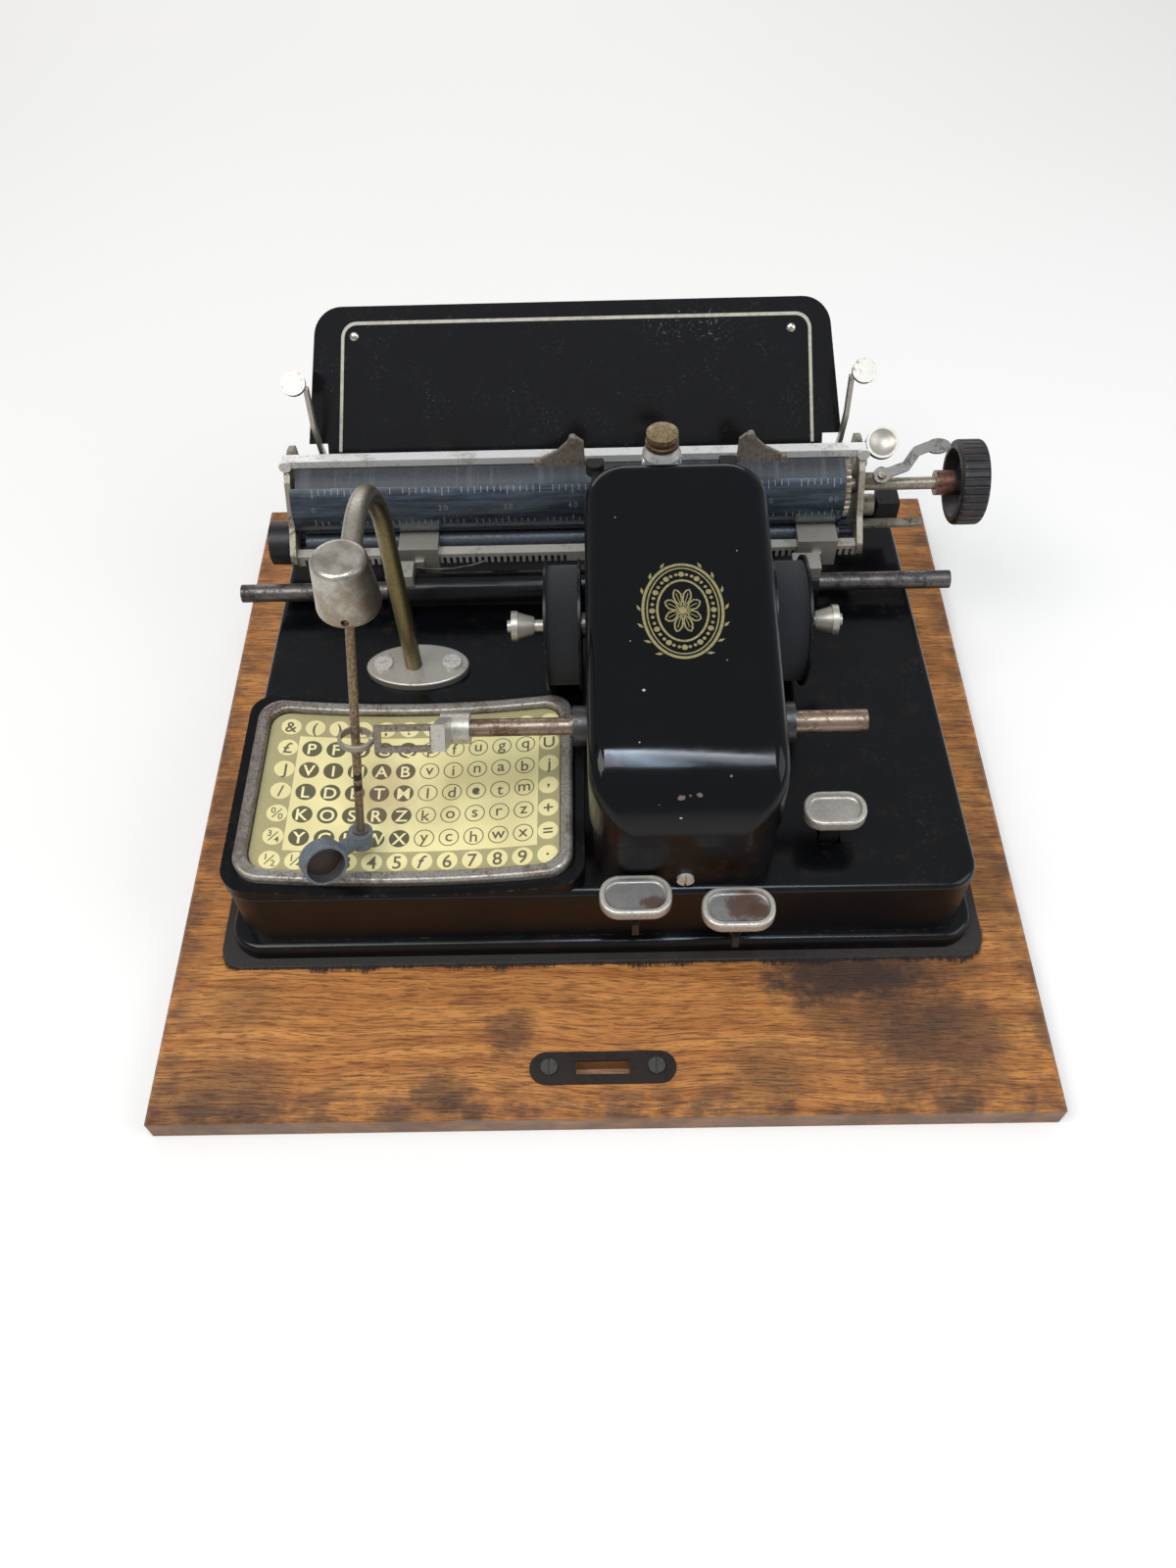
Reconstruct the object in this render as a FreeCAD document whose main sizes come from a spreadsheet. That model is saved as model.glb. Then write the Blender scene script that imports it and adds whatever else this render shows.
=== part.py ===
"""Index typewriter on its wooden board: a pointer picks the character, a key prints it.

Millimetres. X runs to the right as the user sits, Y away from the user, Z up.
The origin is the middle of the board's underside.
"""
import FreeCAD, Part
import Sketcher
import math
import os
import re

Vector = FreeCAD.Vector
Rotation = FreeCAD.Rotation
Placement = FreeCAD.Placement

# Driving dimensions
SIZES = {
    # board, lock plate and felt
    "board_width": 320.0, "board_depth": 311.6, "board_thick": 12.0, "board_edge": 1.2,
    "lock_edge": 17.8, "lock_length": 52.0, "lock_wide": 12.0, "lock_thick": 0.9,
    "lock_slot_length": 19.0, "lock_slot_wide": 5.0, "lock_slot_deep": 7.0,
    "lock_screw_pitch": 38.0, "felt_side": 142.4, "felt_front": 97.0, "felt_back": 110.0,
    "felt_thick": 3.0, "felt_corner": 8.0,
    # base casting
    "base_tall": 37.0, "base_wall": 4.0, "base_corner": 12.0, "deck_round": 2.5, "deck_front": 90.0,
    "deck_back": 104.0, "deck_side_front": 134.0, "deck_side_back": 130.0, "flange_tall": 7.0,
    "flange_front": 94.0, "flange_back": 108.0, "flange_side": 138.0, "flange_round": 2.5,
    # hood and the housing under it
    "hood_middle": 30.0, "hood_width": 66.0, "hood_front": 88.0, "hood_back": 46.6,
    "hood_wall": 1.5, "hood_seat": 26.0, "hood_rear_tall": 52.8, "hood_front_tall": 27.0,
    "hood_front_round": 26.0, "hood_edge_round": 5.5, "hood_corner": 15.0, "housing_inset": 1.0,
    "housing_back": 42.4, "housing_wall": 2.5, "window_wide": 28.0, "window_drop": 8.0,
    "window_tall": 34.0,
    # index tray, frame and card
    "tray_left": 133.4, "tray_right": 5.0, "tray_near": 89.8, "tray_far": 1.0, "tray_corner": 9.6,
    "tray_bend_radius": 350.0, "frame_inset": 4.0, "tray_rise": 0.3, "frame_wide": 4.6,
    "frame_thick": 3.4, "frame_round": 1.4, "card_lift": 0.12, "card_thick": 0.6, "card_gap": 0.3,
    # swan neck, bell joint and pointer
    "neck_across": 71.0, "neck_back": 12.0, "neck_radius": 3.3, "neck_lean": 1.6, "neck_bend": 38.0,
    "neck_top": 125.3, "neck_dip": 2.0, "neck_flange_length": 41.0, "neck_flange_wide": 22.0,
    "neck_flange_thick": 3.0, "neck_flange_soft": 0.8, "bell_across": 73.4, "bell_forward": 48.5,
    "bell_low": 154.5, "bell_tall": 20.5, "bell_radius": 10.2, "bell_top_radius": 8.4,
    "bell_wall": 1.3, "bell_roof": 3.0, "bell_round": 2.0, "pivot_up": 3.2, "gimbal_size": 5.6,
    "gimbal_pin_radius": 1.2, "fork_wall": 1.2, "fork_gap": 0.3, "pin_fit": 0.05,
    "tip_across": 84.2, "tip_forward": 74.0, "tip_up": 57.5, "pointer_radius": 1.5,
    "tip_radius": 0.7, "tip_length": 2.5, "barrel_radius": 2.8, "barrel_length": 8.0,
    "ring_across": 93.0, "ring_forward": 88.0, "ring_up": 73.0, "ring_outer": 7.8,
    "ring_inner": 6.6, "ring_wide": 6.0, "ring_floor": 1.4,
    # index tube, its inner shaft and the eye that follows the pointer
    "shaft_forward": 46.0, "shaft_up": 91.0, "tube_radius": 4.0, "shaft_radius": 2.25,
    "shaft_fit": 0.05, "tube_left": 43.2, "tube_thin_radius": 3.1, "tube_step": 9.0,
    "tube_right": 93.0, "collar_radius": 7.0, "collar_length": 5.0, "clamp_length": 10.0,
    "clamp_radius": 5.5, "link_length": 18.0, "link_tall": 9.0, "link_bar": 2.0, "link_thick": 2.6,
    "eye_radius": 5.9, "eye_bore": 4.9, "eye_thick": 2.5, "eye_share": 0.516, "rack_tooth": 0.5,
    "rack_teeth": 42, "rack_right_share": 0.36, "rack_left_share": 0.54, "pinion_teeth": 36,
    "pinion_wide": 8.0, "pinion_gap": 0.08, "drive_radius": 2.5, "bevel_radius": 3.2,
    "bevel_long": 4.0,
    # type sleeve and what carries it
    "type_across": 26.0, "type_back": 55.0, "type_radius": 7.2, "type_top_share": 0.8,
    "spindle_collar_radius": 3.0, "type_low": 95.1, "type_tall": 33.9, "type_knob_radius": 6.2,
    "type_knob_tall": 6.0, "spindle_radius": 2.0, "bracket_up": 73.4, "bracket_thick": 2.0,
    "bracket_wide": 24.0, "collar_ring_radius": 6.6, "collar_ring_tall": 2.8, "lift_arm_wide": 3.0,
    "lift_arm_long": 15.0,
    # keys
    "key_pivot_up": 43.0, "key_pivot_radius": 2.5, "key_boss_radius": 4.4, "lever_thick": 2.4,
    "lever_tall": 7.0, "lever_tail": 10.0, "print_across": 12.4, "print_forward": 95.6,
    "space_across": 47.2, "space_forward": 101.0, "cap_up": 56.0, "cap_length": 25.0,
    "cap_wide": 15.4, "cap_thick": 4.8, "cap_dish_deep": 1.3, "cap_rim": 1.7,
    "cap_corner_share": 0.46, "cap_post_radius": 2.2, "back_across": 82.8, "back_forward": 67.4,
    "back_cap_up": 65.0, "back_cap_length": 22.0, "back_cap_wide": 14.0, "key_slot_drop": 9.0,
    "key_slot_gap": 0.6, "pivot_bracket_thick": 4.0, "key_gap": 0.4,
    # ribbon spools and guides
    "spool_back": 10.0, "spool_up": 81.5, "spool_radius": 24.5, "spool_thick": 1.0,
    "spool_wide": 13.5, "spool_gap": 2.0, "core_radius": 7.0, "ribbon_radius": 22.5,
    "stub_radius": 2.4, "stub_long": 30.0, "spool_bore_fit": 0.08, "nut_radius": 5.8,
    "nut_small_radius": 3.4, "nut_long": 6.2, "nut_rim": 2.4, "nut_offset": 19.8,
    "guide_low": 112.2, "guide_back": 64.0, "guide_thick": 1.4, "guide_left": 2.6,
    "guide_right": 55.3, "guide_tall": 13.8, "guide_wide": 18.6, "guide_roller_radius": 3.5,
    "guide_roller_tall": 4.8, "guide_stem": 3.0, "guide_reach": 3.8, "guide_foot": 5.0,
    "guide_curl_radius": 1.5, "guide_curl_long": 1.2,
    # rail housing, rod and rear rail
    "rail_back": 50.0, "rail_up": 61.5, "rail_radius": 3.65, "rod_half": 145.0,
    "rail_tube_radius": 7.0, "rail_tube_left": 84.0, "rail_tube_right": 91.0, "rail_post_wide": 9.0,
    "rail_fit": 0.08, "rail_slot_tall": 5.4, "saddle_across": 4.0, "saddle_wide": 8.0,
    "saddle_gap": 0.5, "stop_wide": 11.0, "stop_tall": 5.0, "stop_deep": 9.0,
    "rear_rail_half": 127.0, "rear_rail_back": 100.0, "rear_rail_wide": 6.0, "rear_rail_tall": 3.0,
    # carriage
    "plate_left": 123.0, "plate_right": 108.2, "plate_thick": 2.4, "plate_front": 58.5,
    "plate_deep": 48.0, "plate_drop": 21.0, "plate_tall": 35.3, "rack_front": 60.7,
    "rack_deep": 4.5, "rack_drop": 19.0, "rack_tall": 5.0, "comb_pitch": 2.6, "comb_deep": 3.2,
    "comb_share": 0.5, "beam_back": 98.0, "beam_deep": 4.0, "beam_drop": 19.0, "beam_tall": 8.0,
    "skid_across": 40.0, "skid_long": 12.0, "bail_back": 84.0, "bail_deep": 4.6, "bail_tall": 3.2,
    "bail_screw_radius": 2.4, "platen_back": 81.5, "platen_rise": 33.0, "platen_radius": 14.0,
    "platen_left": 119.0, "platen_right": 101.0, "platen_bore": 3.2, "platen_shaft_radius": 2.5,
    "platen_shaft_end": 147.0, "knob_across": 146.6, "knob_thick": 11.4, "knob_radius": 17.0,
    "knob_groove": 0.8, "knob_grooves": 32, "hub_radius": 5.0, "hub_long": 7.0,
    "ratchet_radius": 13.0, "ratchet_thick": 2.0, "ratchet_teeth": 30, "ratchet_tooth": 1.3,
    "cover_gap": 0.6, "cover_thick": 0.7, "cover_start": 128.0, "cover_sweep": 88.0,
    "cover_end_gap": 0.8, "feed_ahead": 9.9, "feed_drop": 16.1, "feed_radius": 4.4,
    "feed_shaft_radius": 1.6, "feed_knob_radius": 9.0, "feed_knob_long": 9.0,
    "paper_low_back": 95.5, "paper_over": 9.6, "paper_wide_low": 217.0, "paper_wide_top": 202.0,
    "paper_tall": 56.5, "paper_thick": 1.5, "paper_angle": 55.0, "paper_corner": 12.0,
    "paper_notch": 7.6, "paper_notch_tall": 4.5, "paper_middle": -7.0, "stay_wide": 10.0,
    "stay_thick": 2.0, "margin_left": 71.6, "margin_right": 91.0, "margin_wide": 16.0,
    "margin_under": 9.9, "margin_back": 70.2, "margin_point": 1.6, "margin_drop": 4.0,
    "margin_wall": 1.4, "margin_fit": 0.1, "latch_wide": 3.6, "lever_pivot_across": 116.0,
    "lever_pivot_back": 76.0, "lever_over": 10.0, "lever_tilt": 35.0, "lever_bar": 4.0,
    "lever_bar_thick": 1.6, "lever_reach": 26.0, "lever_rise": 11.0, "lever_screw": 3.3,
    "release_across": 116.5, "release_back": 88.0, "release_over": 15.5, "release_radius": 6.4,
    "release_thick": 2.6, "release_pivot_over": 7.0, "release_arm": 3.4, "paper_lever_back": 98.6,
    "paper_lever_over": 3.0, "paper_lever_tall": 40.0, "paper_pad_radius": 4.8,
    "paper_lever_rod": 1.6, "paper_arm_left": 110.5, "paper_arm_right": 101.0,
    "paper_pad_shift": 4.6, "rear_nut_radius": 4.6, "rear_shaft_drop": 16.0,
    "rear_shaft_back": 87.0, "rear_shaft_end": 128.0, "leaf_end": 138.0, "leaf_back": 80.0,
    "leaf_wide": 4.4, "leaf_thick": 1.2, "leaf_drop": 20.4, "run_gap": 0.3, "overrun": 1.0,
    "spring_drum_radius": 15.0, "spring_drum_tall": 12.0, "spring_drum_across": 95.0,
    "spring_drum_back": 75.0, "screw_radius": 3.0, "screw_head": 1.4, "screw_slot": 0.7,
}

doc = FreeCAD.newDocument("IndexTypewriter")
sheet = doc.addObject("Spreadsheet::Sheet", "Sizes")
for row, (alias, number) in enumerate(SIZES.items(), 1):
    sheet.set("A%d" % row, alias)
    sheet.set("B%d" % row, repr(number))
    sheet.setAlias("B%d" % row, alias)
doc.recompute()

WORD = re.compile(r"[a-z][a-z0-9_]*")
NODES = []


# Places that follow another size: the carriage's parts ride at the platen's height, the lock at the board's edge
FOLLOWS = {
    "lock_forward": "(board_depth / 2 - lock_edge)",
    "platen_up": "(board_thick + felt_thick + base_tall + platen_rise)",
    "rack_low": "(platen_up - rack_drop)", "beam_low": "(platen_up - beam_drop)",
    "plate_low": "(platen_up - plate_drop)", "margin_top": "(platen_up - margin_under)",
    "feed_up": "(platen_up - feed_drop)", "feed_back": "(platen_back - feed_ahead)",
    "paper_low_up": "(platen_up + paper_over)", "lever_pivot_up": "(platen_up + lever_over)",
    "release_up": "(platen_up + release_over)", "release_pivot_up": "(platen_up + release_pivot_over)",
    "paper_lever_up": "(platen_up + paper_lever_over)", "rear_shaft_up": "(platen_up - rear_shaft_drop)",
    "leaf_up": "(platen_up - leaf_drop)",
}


def pointed(found):
    """One word of an expression: its cell in the sheet, what it follows, or the word itself."""
    word = found.group()
    if word in FOLLOWS:
        return bound(FOLLOWS[word])
    return "Sizes." + word if word in SIZES else word


def bound(text):
    """The expression with every size name pointing at its cell in the sheet."""
    return WORD.sub(pointed, text)


def value(text):
    """What an expression of size names comes to now."""
    return float(sheet.evalExpression(bound(text)))


def bind(item, prop, text):
    item.setExpression(prop, bound(text))


def place(item, where):
    """Bind an object's position to three expressions."""
    for letter, text in zip("xyz", where):
        bind(item, "Placement.Base." + letter, text)


# Solids from expressions
def box(name, x, y, z):
    item = doc.addObject("Part::Box", name)
    for prop, (low, high) in zip(("Length", "Width", "Height"), (x, y, z)):
        bind(item, prop, "(%s) - (%s)" % (high, low))
    place(item, (x[0], y[0], z[0]))
    return item


TURN = {"x": Rotation(Vector(0, 1, 0), 90), "y": Rotation(Vector(1, 0, 0), -90), "z": Rotation()}


def along(axis, low, centre):
    """The start point of a round piece whose axis runs along x, y or z."""
    first, second = centre
    return {"x": (low, first, second), "y": (first, low, second), "z": (first, second, low)}[axis]


def cylinder(name, axis, radius, span, centre):
    item = doc.addObject("Part::Cylinder", name)
    bind(item, "Radius", radius)
    bind(item, "Height", "(%s) - (%s)" % (span[1], span[0]))
    item.Placement = Placement(Vector(), TURN[axis])
    place(item, along(axis, span[0], centre))
    return item


def cone(name, axis, start_radius, end_radius, span, centre):
    item = doc.addObject("Part::Cone", name)
    bind(item, "Radius1", start_radius)
    bind(item, "Radius2", end_radius)
    bind(item, "Height", "(%s) - (%s)" % (span[1], span[0]))
    item.Placement = Placement(Vector(), TURN[axis])
    place(item, along(axis, span[0], centre))
    return item


def fuse(name, pieces):
    item = doc.addObject("Part::MultiFuse", name)
    item.Shapes = pieces
    return item


def cut(name, base, tools):
    item = doc.addObject("Part::Cut", name)
    item.Base = base
    item.Tool = tools[0] if len(tools) == 1 else fuse(name + "_tools", tools)
    return item


def common(name, pieces):
    item = doc.addObject("Part::MultiCommon", name)
    item.Shapes = pieces
    return item


def group(name, pieces):
    """Separate solids that share one sub-part."""
    item = doc.addObject("Part::Compound", name)
    item.Links = pieces
    return item


def tube(name, axis, outer, inner, span, centre):
    longer = ("(%s) - overrun" % span[0], "(%s) + overrun" % span[1])
    outside = cylinder(name + "_outside", axis, outer, span, centre)
    return cut(name, outside, [cylinder(name + "_bore", axis, inner, longer, centre)])


def rounded(name, base, radius, wanted):
    """Fillet the edges of base that wanted(edge) picks."""
    doc.recompute()
    item = doc.addObject("Part::Fillet", name)
    item.Base = base
    size = value(radius)
    edges = [i for i, edge in enumerate(base.Shape.Edges, 1) if wanted(edge)]
    item.Edges = [(i, size, size) for i in edges]
    return item


PLANES = {"xy": ("XY_Plane", 1), "xz": ("XZ_Plane", -1), "yz": ("YZ_Plane", 1)}


def outline(body, name, plane, points, level):
    """A closed sketch of straight lines whose corners are bound to expressions."""
    role, facing = PLANES[plane]
    sketch = body.newObject("Sketcher::SketchObject", name + "_outline")
    support = [item for item in body.Origin.OriginFeatures if item.Role == role][0]
    sketch.AttachmentSupport = (support, [""])
    sketch.MapMode = "FlatFace"
    bind(sketch, "AttachmentOffset.Base.z", level)
    corners = [Vector(value(a), value(b), 0) for a, b in points]
    count = len(corners)
    for i in range(count):
        sketch.addGeometry(Part.LineSegment(corners[i], corners[(i + 1) % count]), False)
    for i in range(count):
        sketch.addConstraint(Sketcher.Constraint("Coincident", i, 2, (i + 1) % count, 1))
    for i, (point, texts) in enumerate(zip(corners, points)):
        for kind, number, text in (("DistanceX", point.x, texts[0]), ("DistanceY", point.y, texts[1])):
            at = sketch.addConstraint(Sketcher.Constraint(kind, -1, 1, i, 1, number))
            bind(sketch, "Constraints[%d]" % at, text)
    return sketch


def prism(name, plane, points, span, corner=None, picks=None):
    """A body padded from an outline; corner rounds its upright edges (or those in picks)."""
    body = doc.addObject("PartDesign::Body", name)
    low, high = span
    level = "-(%s)" % high if plane == "xz" else low
    pad = body.newObject("PartDesign::Pad", name + "_pad")
    pad.Profile = outline(body, name, plane, points, level)
    bind(pad, "Length", "(%s) - (%s)" % (high, low))
    doc.recompute()
    if corner:
        thick = value("(%s) - (%s)" % (high, low))
        way = {"xy": "ZLength", "xz": "YLength", "yz": "XLength"}[plane]
        edges = ["Edge%d" % i for i, edge in enumerate(pad.Shape.Edges, 1)
                 if getattr(edge.BoundBox, way) > 0.9 * thick and (picks is None or picks(edge))]
        soft = body.newObject("PartDesign::Fillet", name + "_corners")
        soft.Base = (pad, edges)
        bind(soft, "Radius", corner)
        body.Tip = soft
    return body


def turned(name, axis, points, origin):
    """A body of revolution: points are (distance along the axis, radius)."""
    body = doc.addObject("PartDesign::Body", name)
    sketch = outline(body, name, "xy", points, "0")
    spin = body.newObject("PartDesign::Revolution", name + "_turned")
    spin.Profile = sketch
    spin.ReferenceAxis = (sketch, ["H_Axis"])
    spin.Angle = 360
    body.Tip = spin
    turn = {"x": Rotation(), "y": Rotation(Vector(0, 0, 1), 90), "z": Rotation(Vector(0, 1, 0), -90)}
    body.Placement = Placement(Vector(), turn[axis])
    place(body, origin)
    return body


def shaped(name, shape, placement=None):
    """A sub-part whose shape comes from curves or repeats."""
    item = doc.addObject("Part::Feature", name)
    item.Shape = shape
    if placement:
        item.Placement = placement
    return item


def keep(name, item):
    """Name the sub-part and list it for writing."""
    item.Label = name
    NODES.append(item)
    return item


def turned_away(direction):
    """A rotation that takes +Z to the direction."""
    return Rotation(Vector(0, 0, 1), direction)


# Levels and places that many pieces share
FELT_TOP = "(board_thick + felt_thick)"
DECK = "(board_thick + felt_thick + base_tall)"
SEAT = "(board_thick + felt_thick + base_tall + hood_seat)"
HOOD_LEFT = "(hood_middle - hood_width / 2)"
HOOD_RIGHT = "(hood_middle + hood_width / 2)"
PIVOT_UP = "(bell_low + pivot_up)"
PITCH_RADIUS = "(rack_tooth * pinion_teeth / 2)"
DRIVE_UP = "(shaft_up - tube_radius + rack_tooth - rack_tooth * pinion_teeth / 2)"


def sized(*texts):
    return [value(text) for text in texts]


def build_board():
    body = prism("baseboard_blank", "xy",
                 [("-board_width / 2", "-board_depth / 2"), ("board_width / 2", "-board_depth / 2"),
                  ("board_width / 2", "board_depth / 2"), ("-board_width / 2", "board_depth / 2")],
                 ("0", "board_thick"))
    edge = doc.addObject("Part::Chamfer", "baseboard_edge")
    doc.recompute()
    size = value("board_edge")
    top = value("board_thick")
    edge.Base = body
    edge.Edges = [(i, size, size) for i, item in enumerate(body.Shape.Edges, 1)
                  if item.BoundBox.ZMin > top - size]
    slot = box("lock_slot", ("-lock_slot_length / 2", "lock_slot_length / 2"),
               ("-lock_forward - lock_slot_wide / 2", "-lock_forward + lock_slot_wide / 2"),
               ("board_thick - lock_slot_deep", "board_thick + overrun"))
    holes = [cylinder("lock_screw_hole_%d" % side, "z", "screw_radius / 2",
                      ("board_thick - lock_slot_deep", "board_thick + overrun"),
                      ("%d * lock_screw_pitch / 2" % side, "-lock_forward")) for side in (-1, 1)]
    keep("baseboard", cut("baseboard", edge, [slot] + holes))

    straight = "(lock_length / 2 - lock_wide / 2)"
    blank = fuse("lock_blank", [
        box("lock_bar", ("-" + straight, straight), ("-lock_forward - lock_wide / 2", "-lock_forward + lock_wide / 2"),
            ("board_thick", "board_thick + lock_thick")),
        cylinder("lock_end_left", "z", "lock_wide / 2", ("board_thick", "board_thick + lock_thick"),
                 ("-" + straight, "-lock_forward")),
        cylinder("lock_end_right", "z", "lock_wide / 2", ("board_thick", "board_thick + lock_thick"),
                 (straight, "-lock_forward"))])
    opening = box("lock_opening", ("-lock_slot_length / 2", "lock_slot_length / 2"),
                  ("-lock_forward - lock_slot_wide / 2", "-lock_forward + lock_slot_wide / 2"),
                  ("board_thick - overrun", "board_thick + lock_thick + overrun"))
    bores = [cylinder("lock_bore_%d" % side, "z", "screw_radius / 2 + pin_fit",
                      ("board_thick - overrun", "board_thick + lock_thick + overrun"),
                      ("%d * lock_screw_pitch / 2" % side, "-lock_forward")) for side in (-1, 1)]
    keep("lock_plate", cut("lock_plate", blank, [opening] + bores))

    keep("felt_pad", prism("felt_pad", "xy",
                           [("-felt_side", "-felt_front"), ("felt_side", "-felt_front"),
                            ("felt_side", "felt_back"), ("-felt_side", "felt_back")],
                           ("board_thick", FELT_TOP), "felt_corner"))


def slotted_screw(name, axis, head_low, centre, head_radius, shank, slot_across):
    """A cheese-head screw with a slot; the head stands on head_low, the shank goes the other way."""
    head = (head_low, "(%s) + screw_head" % head_low)
    body = fuse(name + "_blank", [cylinder(name + "_head", axis, head_radius, head, centre),
                                  cylinder(name + "_shank", axis, "screw_radius / 2",
                                           ("(%s) - (%s)" % (head_low, shank), head_low), centre)])
    wide = [("(%s) - %s" % (centre[0], slot_across[0]), "(%s) + %s" % (centre[0], slot_across[0])),
            ("(%s) - %s" % (centre[1], slot_across[1]), "(%s) + %s" % (centre[1], slot_across[1]))]
    deep = ("(%s) + screw_head - screw_slot" % head_low, "(%s) + screw_head + overrun" % head_low)
    spans = {"z": (wide[0], wide[1], deep), "y": (wide[0], deep, wide[1])}[axis]
    return cut(name, body, [box(name + "_slot", *spans)])


def build_screws():
    across, thin = "(screw_radius * 2)", "(screw_slot / 2)"
    screws = [slotted_screw("lock_screw_%d" % side, "z", "board_thick + lock_thick",
                            ("%d * lock_screw_pitch / 2" % side, "-lock_forward"), "screw_radius",
                            "lock_slot_deep / 2", (thin, across)) for side in (-1, 1)]
    screws += [slotted_screw("neck_screw_%d" % side, "z", DECK + " + neck_flange_thick",
                             ("-neck_across + %d * neck_flange_length / 3" % side, "neck_back + neck_radius"),
                             "screw_radius + screw_slot", "neck_flange_thick + base_wall / 2",
                             (across, thin)) for side in (-1, 1)]
    front = cylinder("housing_screw_head", "y", "screw_radius",
                     ("-hood_front + housing_inset - screw_head", "-hood_front + housing_inset"),
                     ("hood_middle", DECK + " + screw_radius * 1.5"))
    slot = box("housing_screw_slot", ("hood_middle - screw_slot / 2", "hood_middle + screw_slot / 2"),
               ("-hood_front + housing_inset - screw_head - overrun",
                "-hood_front + housing_inset - screw_head + screw_slot"),
               (DECK, DECK + " + screw_radius * 3"))
    screws.append(cut("housing_screw", front, [slot]))
    keep("slotted_screws", group("slotted_screws", screws))


def side_outline(grow):
    """The deck's outline, narrower at the back, drawn in by grow."""
    front = "-(deck_front - (%s))" % grow
    back = "(deck_back - (%s))" % grow
    wide, thin = "(deck_side_front - (%s))" % grow, "(deck_side_back - (%s))" % grow
    return [("-" + wide, front), (wide, front), (thin, back), ("-" + thin, back)]


def build_base():
    top = value(DECK)
    walls = prism("base_walls", "xy", side_outline("0"), (FELT_TOP, DECK), "base_corner")
    walls = rounded("base_walls_soft", walls, "deck_round", lambda edge: edge.BoundBox.ZMin > top - 0.01)
    flange = prism("base_flange", "xy",
                   [("-flange_side", "-flange_front"), ("flange_side", "-flange_front"),
                    ("flange_side", "flange_back"), ("-flange_side", "flange_back")],
                   (FELT_TOP, FELT_TOP + " + flange_tall"), "base_corner")
    rim = value(FELT_TOP + " + flange_tall")
    flange = rounded("base_flange_soft", flange, "flange_round", lambda edge: edge.BoundBox.ZMin > rim - 0.01)
    hollow = prism("base_hollow", "xy", side_outline("base_wall"),
                   (FELT_TOP + " - overrun", DECK + " - base_wall"), "base_corner - base_wall")
    tools = [hollow]
    slot_top = "key_pivot_up + lever_tall / 2 + key_gap"
    slot_low = "key_pivot_up - lever_tall / 2 - key_slot_drop"
    for name in ("print", "space"):
        tools.append(box(name + "_slot",
                         (name + "_across - lever_thick / 2 - key_slot_gap",
                          name + "_across + lever_thick / 2 + key_slot_gap"),
                         ("-deck_front - overrun", "-deck_front + base_wall + overrun"), (slot_low, slot_top)))
    tools.append(box("back_slot", ("back_across - lever_tall / 2 - key_slot_gap",
                                   "back_across + lever_tall / 2 + key_slot_gap"),
                     ("-back_forward - lever_thick * 1.5", "-back_forward + lever_thick * 2.5"),
                     (DECK + " - base_wall - overrun", DECK + " + overrun")))
    tools.append(box("works_opening", (HOOD_LEFT + " + housing_inset + housing_wall",
                                       HOOD_RIGHT + " - housing_inset - housing_wall"),
                     ("-hood_front + housing_inset + housing_wall + base_corner",
                      "housing_back - housing_wall - base_corner"),
                     (DECK + " - base_wall - overrun", DECK + " + overrun")))
    tools += [cylinder("neck_screw_hole_%d" % side, "z", "screw_radius / 2 + pin_fit",
                       (DECK + " - base_wall - overrun", DECK + " + overrun"),
                       ("-neck_across + %d * neck_flange_length / 3" % side, "neck_back + neck_radius"))
              for side in (-1, 1)]
    shell = cut("base_shell", fuse("base_blank", [walls, flange]), tools)
    ears = []
    for name, where in (("left", "print_across - key_boss_radius * 3"), ("right", "back_across + key_boss_radius * 2")):
        ear = box("pivot_ear_" + name, (where, where + " + pivot_bracket_thick"),
                  ("-key_boss_radius", "key_boss_radius"),
                  ("key_pivot_up - key_boss_radius", DECK + " - base_wall / 2"))
        hole = cylinder("pivot_ear_bore_" + name, "x", "key_pivot_radius + pin_fit",
                        (where + " - overrun", where + " + pivot_bracket_thick + overrun"), ("0", "key_pivot_up"))
        ears.append(cut("pivot_ear_cut_" + name, ear, [hole]))
    keep("base_casting", fuse("base_casting", [shell] + ears))
    keep("key_pivot_rod", cylinder("key_pivot_rod", "x", "key_pivot_radius",
                                   ("print_across - key_boss_radius * 3",
                                    "back_across + key_boss_radius * 2 + pivot_bracket_thick"),
                                   ("0", "key_pivot_up")))
    keep("mainspring_drum", cylinder("mainspring_drum", "z", "spring_drum_radius",
                                     (DECK + " - base_wall - run_gap - spring_drum_tall",
                                      DECK + " - base_wall - run_gap"),
                                     ("-spring_drum_across", "spring_drum_back")))


def hood_profile(inset):
    """Side view of the hood: a flat foot, a tall back and a top that falls to the front."""
    front, back = "-(hood_front - (%s))" % inset, "(hood_back - (%s))" % inset
    rear_top = "(%s + hood_rear_tall - (%s))" % (SEAT, inset)
    front_top = "(%s + hood_front_tall - (%s))" % (SEAT, inset)
    return [(front, SEAT), (back, SEAT), (back, rear_top), (front, front_top)]


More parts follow.
